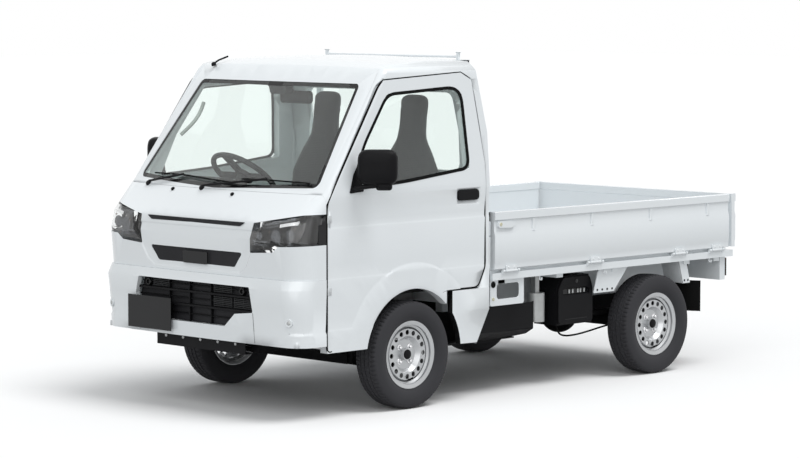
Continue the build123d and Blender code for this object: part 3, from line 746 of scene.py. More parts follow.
@dataclass(frozen=True)
class PressedSide:
    """The creases, arch flare and handle pocket pressed into the cab's sides.

    Attributes:
        rows: Height and depth of each level of the side, from the sill up.
        row_cuts: Further heights at which the side is cut.
        flare: Radius about the front axle and depth across the flare, from the arch's lip out.
        pocket: The handle pocket's lowest and highest y and z, and its depth.
        pocket_ramp: The width of the pocket's sloping edge.
        rings: Radii at which the flare's faces are cut.
        arch_top: Height above which no flare is cut.
        sectors: Steps round the flare, over half a turn.
        crown: How much lower the roof lies at its sides than on its centre line.
        crown_foot: Height above which the roof is lowered.
        crown_rise: Over how much height that comes in.
        roof_half: Half the width over which the roof is cut into strips.
        lining_inset: How far inside the skin a face counts as lining.
        lining_reach: How far from the front axle the arch's lining goes.
        heel: Top and foot, as y and z, of the slanted edge behind the corner panel.
        corner: Lowest y and highest z of the corner panel, which is left unpressed.
    """

    rows: tuple[tuple[float, float], ...] = (
        (0.290, 0.0012), (0.434, 0.0004), (0.447, 0.0028), (0.681, 0.0022), (0.694, 0.0046), (0.930, 0.0036),
        (0.943, 0.0066),
        (1.000, 0.0050), (1.090, 0.0),
    )
    row_cuts: tuple[float, ...] = (0.4405, 0.6875, 0.7600, 0.9365, 0.970, 1.045)
    flare: tuple[tuple[float, float], ...] = (
        (0.333, 0.0030), (0.340, 0.0008), (0.350, 0.0), (0.452, 0.0), (0.474, 1.0)
    )
    pocket: tuple[float, float, float, float, float] = (-0.567, -0.394, 1.000, 1.088, 0.0115)
    pocket_ramp: float = 0.012
    rings: tuple[float, ...] = (0.340, 0.350, 0.452, 0.459, 0.467, 0.474)
    arch_top: float = 0.76
    sectors: int = 44
    crown: float = 0.020
    crown_foot: float = 1.672
    crown_rise: float = 0.05
    roof_half: float = 0.60
    lining_inset: float = 0.012
    lining_reach: float = 0.42
    heel: tuple[tuple[float, float], tuple[float, float]] = ((-0.326, 0.467), (-0.424, 0.290))
    corner: tuple[float, float] = (-0.900, 0.640)

    def depth(self, points: Array) -> Array:
        """How far inwards each point goes: the rows' depth, none on the flare, more in the pocket."""
        y, z = points[:, 1], points[:, 2]
        rows = rows_between(z, self.rows)
        away = np.hypot(y - FRONT_AXLE_Y, z - AXLE_Z)
        flare = rows_between(away, self.flare)
        depth = np.where(away < self.flare[-1][0], np.minimum(rows, flare), rows)
        y0, y1, z0, z1, deep = self.pocket
        inside = np.minimum(np.minimum(y - y0, y1 - y), np.minimum(z - z0, z1 - z))
        return np.maximum(depth, deep * np.clip(inside / self.pocket_ramp, 0, 1))

    def press(self, node: str, body: str, pockets: bool) -> bpy.types.Object:
        """Copies a CAD panel, cuts its outer faces along the creases and pushes their points inwards.

        Args:
            node: The CAD node that the panel stands for.
            body: The body it rides on.
            pockets: True if the panel has the handle pocket.

        Returns:
            The pressed panel, which replaces the node.
        """
        form = merged_form(node)
        self.mark(form, node)
        for height in (*(row[0] for row in self.rows), *self.row_cuts):
            self.cut(form, (0, 0, height), (0, 0, 1), lambda c: True)
        self.cut_arch(form)
        if pockets:
            self.cut_pocket(form)
        verts = corners_of([f for f in form.faces if f.material_index])
        bmesh.ops.triangulate(form, faces=form.faces[:])
        for vert, deep in zip(verts, self.depth(np.array([v.co for v in verts]))):
            vert.co.x -= math.copysign(float(deep), vert.co.x)
        shell = node == "cab_shell"
        if shell:
            self.shape_shell(form)
        piece = pressed_piece(form, f"pressed_{node}", node, body)
        if shell:
            self.line_arches(piece.data)
        return piece

    def mark(self, form: bmesh.types.BMesh, node: str) -> None:
        """Marks the outer faces below the windows by their material index, but not the corner panels."""
        for face in form.faces:
            centre = face.calc_center_median()
            facing = face.normal.x * math.copysign(1.0, centre.x) > 0.7
            outer = facing and abs(centre.x) > float(CAB.side_x(centre.z)) - 0.004
            corner = node == "cab_shell" and centre.y > self.corner[0] and centre.z < self.corner[1]
            face.material_index = int(outer and centre.z < 1.2 and not corner)

    @staticmethod
    def cut(form: bmesh.types.BMesh, point: Point, normal: Point, keep: Callable[[Vector], bool]) -> None:
        """Cuts the marked faces whose centres pass a test along one plane."""
        faces = [f for f in form.faces if f.material_index and keep(f.calc_center_median())]
        cut_faces(form, faces, point, normal)

    def cut_arch(self, form: bmesh.types.BMesh) -> None:
        """Cuts the flare along spokes from the axle, then each sector along a chord of every ring."""
        axle = (0.0, FRONT_AXLE_Y, AXLE_Z)
        top = self.arch_top
        margin = 0.02
        turns = np.linspace(margin, math.pi - margin, self.sectors + 1)
        for turn in turns:
            self.cut(form, axle, (0, -math.sin(turn), math.cos(turn)), lambda c: c.z < top)

        def in_sector(c: Vector) -> bool:
            """True for a place between the two spokes."""
            return c.z < top and low < math.atan2(c.z - AXLE_Z, c.y - FRONT_AXLE_Y) < high

        for low, high in zip(turns[:-1], turns[1:]):
            middle = (low + high) / 2
            out = (0.0, math.cos(middle), math.sin(middle))
            for radius in self.rings:
                place = (0.0, FRONT_AXLE_Y + radius * out[1], AXLE_Z + radius * out[2])
                self.cut(form, place, out, in_sector)

    def cut_pocket(self, form: bmesh.types.BMesh) -> None:
        """Cuts the side along the pocket's edges and its slopes, upright first and then level."""
        y0, y1, z0, z1, _ = self.pocket
        ramp, above = self.pocket_ramp, 0.06
        near = 0.02

        def beside(c: Vector) -> bool:
            """True for a place on the panel at about the pocket's height."""
            return y0 - 0.5 < c.y < y1 + 0.2 and z0 - above < c.z < z1 + above

        def close(c: Vector) -> bool:
            """True for a place at the pocket itself."""
            return y0 - near < c.y < y1 + near and z0 - above < c.z < z1 + above

        for place in (y0, y0 + ramp / 2, y0 + ramp, y1 - ramp, y1 - ramp / 2, y1):
            self.cut(form, (0, place, 0), (0, 1, 0), beside)
        for place in (z0, z0 + ramp / 2, z0 + ramp, z1 - ramp, z1 - ramp / 2, z1):
            self.cut(form, (0, 0, place), (0, 0, 1), close)

    def shape_shell(self, form: bmesh.types.BMesh) -> None:
        """Draws the corner panels' rear edge in along the heel, and crowns the roof.

        The roof is lowered by the crown times the square of x over its half width.
        """
        top, foot = self.heel
        behind = [
            f for f in form.faces if f.calc_center_median().y > -0.48 and f.calc_center_median().z < 0.7
        ]
        cut_faces(form, behind, (0, 0, top[1]), (0, 0, 1))
        for vert in form.verts:
            if vert.co.z < top[1]:
                share = (vert.co.z - foot[1]) / (top[1] - foot[1])
                vert.co.y = min(vert.co.y, foot[0] + share * (top[0] - foot[0]))
        for place in np.linspace(-self.roof_half, self.roof_half, 13):
            roof = [f for f in form.faces if f.calc_center_median().z > 1.66]
            cut_faces(form, roof, (place, 0, 0), (1, 0, 0))
        for vert in form.verts:
            share = min(1.0, max(0.0, (vert.co.z - self.crown_foot) / self.crown_rise))
            vert.co.z -= self.crown * share * (vert.co.x / 0.68) ** 2

    def line_arches(self, mesh: bpy.types.Mesh) -> None:
        """Gives the faces inside the wheel arches and under the floor the chassis's black."""
        mesh.materials.append(CHASSIS_PAINT.material())
        for polygon in mesh.polygons:
            x, y, z = polygon.center
            away = math.hypot(y - FRONT_AXLE_Y, z - AXLE_Z)
            skin = float(CAB.side_x(z)) - self.lining_inset
            inside = abs(polygon.normal.x) < 0.6 or abs(x) < skin
            arch = away < self.lining_reach and z < 0.68
            polygon.material_index = int(inside and (arch or z < 0.50 and polygon.normal.z < -0.5))


# Profiles of small turned parts, as distance along the axis and radius


WHEEL_SEAT = ((-0.001, 0.016), (0.003, 0.0155), (0.0045, 0.012))
CAP_RING = ((-0.004, 0.0205), (0.0022, 0.0200), (0.0030, 0.0180), (0.0010, 0.0160), (0.0010, 0.001))
SENSOR_EYE = ((-0.002, 0.0105), (0.0022, 0.0100), (0.0036, 0.0080), (0.0040, 0.001))
PLATE_BOLT = ((0.0, 0.0075), (0.003, 0.0070), (0.0045, 0.0045), (0.005, 0.001))
UNDERTRAY_CLIP = ((0.0, 0.008), (0.003, 0.007), (0.004, 0.001))
HINGE_RIVET = ((0.0, 0.0060), (0.0025, 0.0055), (0.0032, 0.001))
LATCH_SCREW = ((0.0, 0.010), (0.0065, 0.0095), (0.0080, 0.007), (0.0082, 0.001))
BRACKET_PLUG = ((0.0, 0.017), (0.003, 0.016), (0.0045, 0.012), (0.0045, 0.001))
BRACKET_SCREW = ((0.0, 0.009), (0.005, 0.008), (0.0065, 0.001))
FENDER_RIVET = ((0.0, 0.006), (0.0025, 0.005), (0.0035, 0.001))
COVER_KNOB = ((0.0, 0.012), (0.0022, 0.011), (0.003, 0.008), (0.003, 0.001))
WIPER_PIVOT = ((0.0, 0.016), (0.018, 0.015), (0.024, 0.010), (0.025, 0.001))
ANTENNA_BASE = ((-0.004, 0.013), (0.008, 0.012), (0.014, 0.007), (0.015, 0.001))
WASHER_NOZZLE = ((-0.002, 0.011), (0.005, 0.010), (0.008, 0.006), (0.009, 0.001))
WHEEL_NUT = ((0.0, 0.0105), (0.012, 0.0105), (0.016, 0.0085), (0.0185, 0.004), (0.0188, 0.0005))
CENTRE_CAP = ((0.0, 0.027), (0.018, 0.0265), (0.026, 0.0235), (0.029, 0.017), (0.0295, 0.0005))
LAMP_BEAD = ((0.0, 0.0055), (-0.003, 0.0045), (-0.004, 0.001))


# Lamps


@dataclass(frozen=True)
class HeadLamp:
    """One headlamp: a clear lens over a dark bowl, with a trim bar, reflectors and a blank outer end.

    Attributes:
        side: The side it is on.
        glass: The lens's thickness.
        corner: The radius of the cab's corner that the lamp goes round.
        inner: The inner end of the lens's upper edge, as x and z.
        slope: How much that edge rises for each step outwards.
        bowls: Place from the front, radius and distance behind the skin of each reflector.
        ambers: Places of the amber lights.
    """

    side: Side
    glass: float = 0.0025
    corner: float = 0.138
    inner: tuple[float, float] = (0.418, 0.957)
    slope: float = 0.056 / 0.30
    bowls: tuple[tuple[float, float, float, float], ...] = (
        (0.560, 0.898, 0.034, 0.030),
        (0.640, 0.905, 0.030, 0.034),
        (0.462, 0.895, 0.017, 0.020),
    )
    ambers: tuple[tuple[float, float], ...] = ((0.585, 0.862), (0.522, 0.918), (0.668, 0.940))

    def make(self) -> None:
        """Splits the CAD lamp into its skin, the lens, and the rest, the bowl, and fits the insides."""
        lens, bowl = merged_form("headlamps"), merged_form("headlamps")
        for form, outer in ((lens, True), (bowl, False)):
            drop = [f for f in form.faces if self.is_outer(f) != outer or not self.is_mine(f)]
            bmesh.ops.delete(form, geom=drop, context="FACES")
        word = self.side.word
        glass = self.finish_form(lens, f"lamp_lens_{word}", CLEAR_LENS, "lamp_lens")
        shell = glass.modifiers.new("shell", "SOLIDIFY")
        shell.thickness = self.glass
        shell.offset = -1.0
        self.finish_form(bowl, f"lamp_bowl_{word}", GLOSS_BLACK, "black_plastic")
        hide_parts("headlamps")
        self.trim()
        self.reflectors()
        self.steps()
        self.lights()
        self.end_cap()

    def is_mine(self, face: bmesh.types.BMFace) -> bool:
        """True for a face on this lamp's side of the truck."""
        return face.calc_center_median().x * self.side.value >= 0

    @staticmethod
    def is_outer(face: bmesh.types.BMFace) -> bool:
        """True for a face of the lamp's outer skin."""
        centre = face.calc_center_median()
        outwards = face.normal.x * math.copysign(1.0, centre.x)
        return face.normal.y < -0.45 or abs(centre.x) > 0.70 and outwards > 0.7

    @staticmethod
    def finish_form(form: bmesh.types.BMesh, name: str, finish: Finish, slot: str) -> bpy.types.Object:
        """Turns an edited form into a piece on the truck's body."""
        mesh = bpy.data.meshes.new(name)
        form.to_mesh(mesh)
        form.free()
        return place_mesh(mesh, name, finish, "truck", sharp=30.0)

    def behind(self, x: Array, z: Array, inset: float) -> Array:
        """Points a distance behind the lamp's skin: the front's bow, turned back round the cab's corner."""
        x, z = np.broadcast_arrays(np.asarray(x, float), np.asarray(z, float))
        half = CAB.side_x(z)
        past = np.clip(x - (half - self.corner), 0, self.corner * 0.9999)
        fall = self.corner - np.sqrt(self.corner**2 - past**2)
        return np.stack([np.minimum(x, half - inset), CAB.front_y(x, z) + fall + inset, z], axis=-1)

    def top(self, x: Array) -> Array:
        """The lens's upper edge: the inner end's height plus the slope times the distance from that end."""
        return self.inner[1] + (x - self.inner[0]) * self.slope

    def strip(self, x: Array, high: Array | float, height: float, inset: float, deep: float) -> Shape:
        """A bar behind the lens, along x: four edges at two heights and two distances behind the skin.

        Args:
            x: Places along the bar.
            high: The height of its first edge.
            height: How far the other edge lies below that one, or above it where negative.
            inset: How far behind the skin its front lies.
            deep: How far behind the skin its back lies.

        Returns:
            The closed bar.
        """
        edges = ((0.0, inset), (height, inset), (height, deep), (0.0, deep))
        return capped(np.stack([self.behind(x, high - down, back) for down, back in edges], axis=1))

    def add(self, name: str, shapes: Sequence[Shape], finish: Finish, slot: str, bevel: float = 0.0) -> None:
        """Adds one of the lamp's parts on its own side."""
        make_piece(
            f"lamp_{name}_{self.side.word}", joined(shapes).on(self.side), finish, "truck", bevel=bevel
        )

    def trim(self) -> None:
        """The two bars below the lens's upper edge and the bright strip."""
        bars = []
        for low, high, end, inset in ((0.0, 0.012, 0.655, 0.012), (0.018, 0.024, 0.600, 0.018)):
            x = np.linspace(0.438, end, 26)
            bars.append(self.strip(x, self.top(x) - 0.014 - low, high - low, inset, inset + 0.02))
        self.add("trim", bars, SMOKED_METAL, "silver_steel", 0.001)
        x = np.linspace(0.585, 0.668, 12)
        light = self.strip(x, self.top(x) - 0.030, 0.017, 0.014, 0.030)
        self.add("strip", [light], BRIGHT_METAL, "silver_steel", 0.001)

    def steps(self) -> None:
        """The steps at the inner end and the black backing."""
        steps = []
        for level in range(4):
            x = np.linspace(0.424 + 0.002 * level, 0.520, 10)
            steps.append(self.strip(x, 0.829 + 0.013 * level, -0.007, 0.010, 0.030))
        self.add("steps", steps, SMOKED_METAL, "silver_steel", 0.0008)
        backing = self.strip(np.linspace(0.412, 0.700, 16), 0.812, -0.196, 0.046, 0.049)
        self.add("backing", [backing], GLOSS_BLACK, "black_plastic")

    def reflectors(self) -> None:
        """The bowls and their projectors.

        At the share a of its radius a bowl lies 0.03 (1 - a^2) behind its rim, and a projector bulges
        forwards as a parabola from 0.45 of that radius.
        """
        bowls, balls = [], []
        for x, z, radius, inset in self.bowls:
            centre = self.behind(x, z, inset)
            depth = [(0.03 * (1 - a * a), radius * 0.92 * a) for a in (0.9, 0.7, 0.5, 0.3, 0.05)]
            bowls.append(lathe([(-0.004, radius), (0.0, radius * 0.96), *depth], centre, (0.05, 1, 0), 28))
            ball = [(-0.006 * (1 - (a / 0.45) ** 2), radius * a) for a in (0.45, 0.4, 0.3, 0.2, 0.1, 0.02)]
            balls.append(lathe(ball, centre + (0, 0.004, 0), (0.05, 1, 0), 24))
        self.add("reflectors", bowls, SMOKED_METAL, "silver_steel")
        self.add("projectors", balls, GLOSS_BLACK, "lamp_lens")

    def lights(self) -> None:
        """The small amber lights."""
        ambers = [lathe(LAMP_BEAD, self.behind(x, z, 0.016), (0, 1, 0), 14) for x, z in self.ambers]
        self.add("amber", ambers, AMBER_LENS, "red_lens")

    def end_cap(self) -> None:
        """The lamp's blank outer end, a black plate that follows the cab's rounded corner."""
        z = np.linspace(0.8615, 1.0135, 8)
        corner_y = CAB.front_y(np.full_like(z, 0.70), z) + self.corner
        rows = []
        for y, out in ((-1.4775, 0.0012), (-1.5300, 0.0012), (-1.5300, 0.010), (-1.4775, 0.010)):
            back = np.clip(corner_y - y, 0, None)
            bulge = np.sqrt(np.clip(self.corner**2 - back**2, 0, None))
            x = CAB.side_x(z) - self.corner + bulge - 0.0006 - out
            rows.append(np.stack([x, np.full_like(z, y), z], axis=-1))
        self.add("end", [capped(np.stack(rows, axis=1))], GLOSS_BLACK, "black_plastic")


# Studio


@dataclass(frozen=True)
class Viewpoint:
    """The photograph's camera, fitted to points of the object whose real places are known.

    Attributes:
        place: Where it stands.
        yaw: Its turn about the upright, in degrees.
        pitch: How far it looks down, in degrees.
        roll: Its turn about its own axis, in degrees.
        lens: Its focal length in millimetres.
        sensor: Its sensor's width in millimetres.
    """

    place: Point = (10.8389, -11.1451, 2.0930)
    yaw: float = -44.8096
    pitch: float = 4.7305
    roll: float = 0.03
    lens: float = 131.12
    sensor: float = 36.0

    def make(self) -> None:
        """Adds the camera and makes it the scene's."""
        yaw, pitch = math.radians(self.yaw), math.radians(self.pitch)
        forward = Vector((math.sin(yaw) * math.cos(pitch), math.cos(yaw) * math.cos(pitch), -math.sin(pitch)))
        right = Vector((math.cos(yaw), -math.sin(yaw), 0.0))
        up = right.cross(forward)
        turn = Matrix((right, up, -forward)).transposed()
        data = bpy.data.cameras.new("photograph")
        data.lens = self.lens
        data.sensor_width = self.sensor
        data.clip_end = 200.0
        camera = bpy.data.objects.new("photograph", data)
        roll = Matrix.Rotation(math.radians(self.roll), 4, "Z")
        camera.matrix_world = Matrix.Translation(self.place) @ turn.to_4x4() @ roll
        bpy.context.scene.collection.objects.link(camera)
        bpy.context.scene.camera = camera


def seen_rays(tree: bpy.types.NodeTree) -> bpy.types.NodeSocket:
    """A value of 1 for what the camera sees, straight, in gloss or through glass, and 0 for all else."""
    rays = tree.nodes.new("ShaderNodeLightPath")
    value = rays.outputs["Is Camera Ray"]
    for name in ("Is Glossy Ray", "Is Transmission Ray"):
        either = tree.nodes.new("ShaderNodeMath")
        either.operation = "MAXIMUM"
        tree.links.new(value, either.inputs[0])
        tree.links.new(rays.outputs[name], either.inputs[1])
        value = either.outputs[0]
    return value


@dataclass(frozen=True)
class Studio:
    """A pale floor, a white surround, an even world and two large soft lamps.

    Attributes:
        world_strength: The surround's light on the object.
        sun_strength: The lamp's strength.
        sun_width: The lamp's apparent width in degrees, which softens the shadow.
        sun_from: The direction that the lamp shines from.
        fill_strength: The strength of the lamp in front.
        fill_width: Its apparent width in degrees.
        fill_from: The direction that it shines from.
        floor_size: Half the floor's width.
        floor_grey: The floor's brightness to light that bounces from it.
        floor_seen: Its brightness to the camera.
    """

    world_strength: float = 0.50
    sun_strength: float = 1.60
    sun_width: float = 30.0
    sun_from: Point = (0.75, 0.35, 1.9)
    fill_strength: float = 1.05
    fill_width: float = 60.0
    fill_from: Point = (0.62, -1.0, 0.62)
    floor_size: float = 60.0
    floor_grey: float = 0.45
    floor_seen: float = 0.92

    def make(self) -> None:
        """Builds the floor, the world and the lamps."""
        self.floor()
        self.world()
        self.lamp("soft_lamp", self.sun_strength, self.sun_width, self.sun_from)
        self.lamp("front_fill", self.fill_strength, self.fill_width, self.fill_from)

    @staticmethod
    def lamp(name: str, strength: float, width: float, source: Point) -> None:
        """A soft far lamp that shines from a direction."""
        data = bpy.data.lights.new(name, "SUN")
        data.energy = strength
        data.angle = math.radians(width)
        lamp = bpy.data.objects.new(name, data)
        lamp.rotation_mode = "QUATERNION"
        lamp.rotation_quaternion = Vector(source).to_track_quat("Z", "Y")
        bpy.context.scene.collection.objects.link(lamp)

    def floor(self) -> None:
        """A flat floor that the camera sees white where no shadow falls."""
        sheet = NodeSheet("studio_floor")
        plain = sheet.add("ShaderNodeBsdfDiffuse")
        plain.inputs["Color"].default_value = (*[self.floor_grey] * 3, 1.0)
        seen = sheet.add("ShaderNodeBsdfDiffuse")
        seen.inputs["Color"].default_value = (*[self.floor_seen] * 3, 1.0)
        mix = sheet.add("ShaderNodeMixShader")
        sheet.link(seen_rays(sheet.tree), mix.inputs[0])
        sheet.link(plain.outputs[0], mix.inputs[1])
        sheet.link(seen.outputs[0], mix.inputs[2])
        sheet.link(mix.outputs[0], sheet.output.inputs["Surface"])
        size = self.floor_size
        mesh = bpy.data.meshes.new("floor")
        mesh.from_pydata(
            [(-size, -size, 0), (size, -size, 0), (size, size, 0), (-size, size, 0)], [], [(0, 1, 2, 3)]
        )
        mesh.materials.append(sheet.material)
        floor = bpy.data.objects.new("floor", mesh)
        floor.location = (0.0, 0.0, -0.001)
        bpy.context.scene.collection.objects.link(floor)

    def world(self) -> None:
        """White to the camera, to glass and to gloss, and an even soft light to all else."""
        world = bpy.data.worlds.new("surround")
        world.use_nodes = True
        tree = world.node_tree
        dim = tree.nodes["Background"]
        dim.inputs["Color"].default_value = (0.96, 0.985, 1.0, 1.0)
        dim.inputs["Strength"].default_value = self.world_strength
        white = tree.nodes.new("ShaderNodeBackground")
        white.inputs["Color"].default_value = (1.0, 1.0, 1.0, 1.0)
        white.inputs["Strength"].default_value = 1.0
        mix = tree.nodes.new("ShaderNodeMixShader")
        tree.links.new(seen_rays(tree), mix.inputs[0])
        tree.links.new(dim.outputs[0], mix.inputs[1])
        tree.links.new(white.outputs[0], mix.inputs[2])
        tree.links.new(mix.outputs[0], tree.nodes["World Output"].inputs["Surface"])
        bpy.context.scene.world = world


# Wheels


@dataclass(frozen=True)
class RoadWheel:
    """One road wheel's tyre with its tread, and the nuts, cap and valve on its rim.

    Attributes:
        name: Which wheel it is, as the node names spell it.
        centre: The wheel's centre.
        side: The side it is on.
        radius: The tyre's outer radius.
        segments: Steps round the tyre.
        slots: Cross slots round each shoulder.
        groove_places: Where the three grooves run, from the tyre's middle.
        groove_half_width: Half a groove's width.
        groove_depth: A groove's depth.
        nut_radius: The wheel nuts' circle.
        disc_face: The rim disc's outer face, from the wheel's middle.
    """

    name: str
    centre: Point
    side: Side
    radius: float = 0.2694
    segments: int = 288
    slots: int = 72
    groove_places: tuple[float, ...] = (-0.027, 0.0, 0.027)
    groove_half_width: float = 0.0036
    groove_depth: float = 0.0065
    nut_radius: float = 0.050
    disc_face: float = 0.012

    def section(self) -> Array:
        """Half of the tyre's section from bead to tread, as distance from the middle and radius.

        The sidewall is an arc-like run through the bead, the widest point and the shoulder;
        the tread is a shallow crown.
        """
        wall = np.array(
            (
                (0.0497, 0.1552), (0.0546, 0.1700), (0.0585, 0.1790), (0.0600, 0.1812), (0.0628, 0.1838),
                (0.0690, 0.2000),
                (0.0722, 0.2120), (0.0732, 0.2220), (0.0728, 0.2330), (0.0712, 0.2450), (0.0690, 0.2540),
                (0.0655, 0.2605),
                (0.0605, 0.2650), (0.0560, 0.2668),
            )
        )
        across = np.linspace(0.0540, 0.0, 46)
        crown = self.radius - 0.0022 * (across / 0.0540) ** 2
        return np.vstack([wall, np.stack([across, crown], axis=1)])

    def tread_depth(self, across: Array, turn: Array) -> Array:
        """How deep the tread is cut at a place across the tyre and round it.

        Three grooves run round with a slight zigzag; cross slots notch the shoulders and,
        half a step on and shallower, the blocks between the grooves.
        """
        phase = turn * self.slots / (2 * np.pi)
        zigzag = 0.0012 * np.abs(2 * (phase % 1.0) - 1)
        depth = np.zeros(np.broadcast(across, turn).shape)
        for place in self.groove_places:
            away = np.abs(across - place - np.sign(place) * zigzag)
            depth = np.maximum(
                depth, self.groove_depth * np.clip((self.groove_half_width - away) / 0.0012, 0, 1)
            )
        notch = np.clip((0.13 - np.abs(phase % 1.0 - 0.5)) / 0.04, 0, 1)
        shoulder = np.clip((np.abs(across) - 0.0345) / 0.002, 0, 1)
        depth = np.maximum(depth, 0.0055 * notch * shoulder)
        middle_notch = np.clip((0.09 - np.abs((phase + 0.5) % 1.0 - 0.5)) / 0.04, 0, 1)
        inner = np.clip((0.0215 - np.abs(np.abs(across) - 0.0135) * 3) / 0.004, 0, 1)
        return np.maximum(depth, 0.0035 * middle_notch * inner)

    def tyre(self) -> bpy.types.Object:
        """The tyre: its section turned about the axle, with the tread's depth taken off the radius."""
        half = self.section()
        full = np.vstack([half, (half * (-1.0, 1.0))[::-1][1:]])
        turn = np.linspace(0, 2 * np.pi, self.segments, endpoint=False)[None, :]
        across, radius = full[:, 0, None], full[:, 1, None]
        cut = self.tread_depth(across, turn) * (radius > 0.2640)
        rib = 0.0007 * (np.abs(radius - 0.2080) < 0.004) + 0.0006 * (np.abs(radius - 0.2480) < 0.003)
        x = np.broadcast_to(across + np.sign(across) * rib, cut.shape)
        r = radius - cut
        grid = np.stack([x, r * np.cos(turn), r * np.sin(turn)], axis=-1) + np.array(self.centre)
        shape = grid_shape(grid, wrap_rows=True, wrap_columns=True)
        shape.faces = [f[:, ::-1] for f in shape.faces]
        piece = make_piece(
            f"road_tyre_{self.name}", shape, TYRE_RUBBER, f"wheel_{self.name}", sharp=40.0
        )
        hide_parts(f"tyre_{self.name}")
        return piece

    def fittings(self) -> None:
        """Four domed nuts, a black centre cap and a rubber valve on the outer side of the rim."""
        out = float(self.side.value)
        face = self.centre[0] + out * self.disc_face
        angles = np.radians((45, 135, 225, 315))
        places = [
            (
                face,
                self.centre[1] + self.nut_radius * math.cos(a),
                self.centre[2] + self.nut_radius * math.sin(a),
            )
            for a in angles
        ]
        nuts = joined([lathe(WHEEL_NUT, p, (out, 0, 0), 6) for p in places])
        seats = joined([lathe(WHEEL_SEAT, p, (out, 0, 0), 20) for p in places])
        body = f"wheel_{self.name}"
        make_piece(
            f"wheel_nuts_{self.name}", joined([nuts, seats]), BRIGHT_METAL, body, bevel=0.0006
        )
        cap_shape = lathe(CENTRE_CAP, (face, self.centre[1], self.centre[2]), (out, 0, 0), 40)
        make_piece(f"centre_cap_{self.name}", cap_shape, BLACK_PLASTIC, body)
        low = np.array((self.centre[0] + out * 0.030, self.centre[1] + 0.010, self.centre[2] - 0.128))
        stem = tube([low, low + (out * 0.016, 0, 0.004), low + (out * 0.032, 0, 0.012)], 0.0038, 10)
        make_piece(f"valve_{self.name}", stem, SEAL_RUBBER, body)


def wheels() -> None:
    """The tyres and fittings of all four road wheels."""
    for name, x, y, side in (
        ("front_left", 0.6525, FRONT_AXLE_Y, Side.LEFT),
        ("front_right", -0.6525, FRONT_AXLE_Y, Side.RIGHT),
        ("rear_left", 0.650, REAR_AXLE_Y, Side.LEFT),
        ("rear_right", -0.650, REAR_AXLE_Y, Side.RIGHT),
    ):
        wheel = RoadWheel(name, (x, y, AXLE_Z), side)
        wheel.tyre()
        wheel.fittings()


# Glass borders


@dataclass(frozen=True)
class ScreenBorder:
    """The black printed border of the windscreen, on the glass's outer face.

    Attributes:
        outline: The opening's corners from the front, as x and z.
        width: The border's width.
        sunk: How far the glass lies behind the cab's front.
        proud: How far the border stands in front of the glass.
    """

    outline: tuple[tuple[float, float], ...] = (
        (-0.662, 1.128), (-0.33, 1.110), (0.0, 1.104), (0.33, 1.110), (0.662, 1.128), (0.584, 1.622),
        (0.0, 1.622), (-0.584, 1.622),
    )
    width: float = 0.020
    sunk: float = 0.003
    proud: float = 0.0006

    def make(self) -> bpy.types.Object:
        """A ribbon round the opening, each point carried to the glass's own surface."""
        edge = rounded(self.outline, 0.028, 7)
        outer, inner = ribbon(edge, self.width)
        layers = []
        for flat in (outer, inner):
            y = CAB.front_y(flat[:, 0], flat[:, 1]) + self.sunk - self.proud
            layers.append(np.stack([flat[:, 0], y, flat[:, 1]], axis=1))
        shape = grid_shape(np.stack(layers), wrap_columns=True)
        return make_piece("windscreen_border", shape, GLOSS_BLACK, "truck")


# Plates and frames cut from outlines


def turned_out(shape: Shape) -> Shape:
    """The closed form with its faces outwards, turned round if the sum of its corner volumes is negative."""
    volume = 0.0
    for faces in shape.faces:
        corner = shape.points[faces]
        volume += float(np.einsum("nc,nkc->", corner[:, 0], np.cross(corner[:, 1:-1], corner[:, 2:])))
    return shape if volume >= 0 else Shape(shape.points, [f[:, ::-1] for f in shape.faces])


def side_slab(outline: Sequence[Sequence[float]], low: float, high: float) -> Shape:
    """A plate between two places across the truck, from an outline of y and z."""
    return turned_out(slab(np.asarray(outline, float), (low, 0, 0), (0, 1, 0), (0, 0, 1), high - low))


def front_slab(outline: Sequence[Sequence[float]], low: float, high: float) -> Shape:
    """A plate between two places along the truck, from an outline of x and z."""
    return turned_out(slab(np.asarray(outline, float), (0, high, 0), (1, 0, 0), (0, 0, 1), high - low))


def level_slab(outline: Sequence[Sequence[float]], low: float, high: float) -> Shape:
    """A plate between two heights, from an outline of x and y."""
    return turned_out(slab(np.asarray(outline, float), (0, 0, low), (1, 0, 0), (0, 1, 0), high - low))


def hoop(
    outer: Array, inner: Array, carry: Callable[[Array, float], Array], front: float, back: float
) -> Shape:
    """A flat band between two outlines of as many points, with a thickness.

    Args:
        outer: The outer outline.
        inner: The inner outline.
        carry: Puts an outline onto a surface at an offset from it.
        front: The offset of the band's outer face.
        back: The offset of its inner face.

    Returns:
        The closed band: its four edges joined in turn.
    """
    rows = np.stack([carry(outer, front), carry(inner, front), carry(inner, back), carry(outer, back)])
    return turned_out(grid_shape(rows, wrap_rows=True, wrap_columns=True))


def on_side(outline: Array, out: float) -> Array:
    """An outline of y and z carried onto the cab's left side, and outwards by an offset."""
    return np.stack([CAB.side_x(outline[:, 1]) + out, outline[:, 0], outline[:, 1]], axis=1)


def upright(outline: Array, x: float) -> Array:
    """An outline of y and z that stands at a place across the truck."""
    return np.insert(outline, 0, x, axis=1)


def span_at(
    outline: Sequence[Sequence[float]], value: float, axis: int, margin: float
) -> tuple[float, float]:
    """The lowest and highest place where an outline crosses a value of one axis, drawn in by a margin."""
    first = np.asarray(outline, float)
    last = np.roll(first, -1, axis=0)
    hit = (first[:, axis] - value) * (last[:, axis] - value) < 0
    share = (value - first[hit, axis]) / (last[hit, axis] - first[hit, axis])
    places = first[hit, 1 - axis] + share * (last[hit, 1 - axis] - first[hit, 1 - axis])
    return float(places.min()) + margin, float(places.max()) - margin


def rectangle(low: Sequence[float], high: Sequence[float]) -> Array:
    """The four corners of an upright rectangle."""
    return np.array(((low[0], low[1]), (high[0], low[1]), (high[0], high[1]), (low[0], high[1])), float)


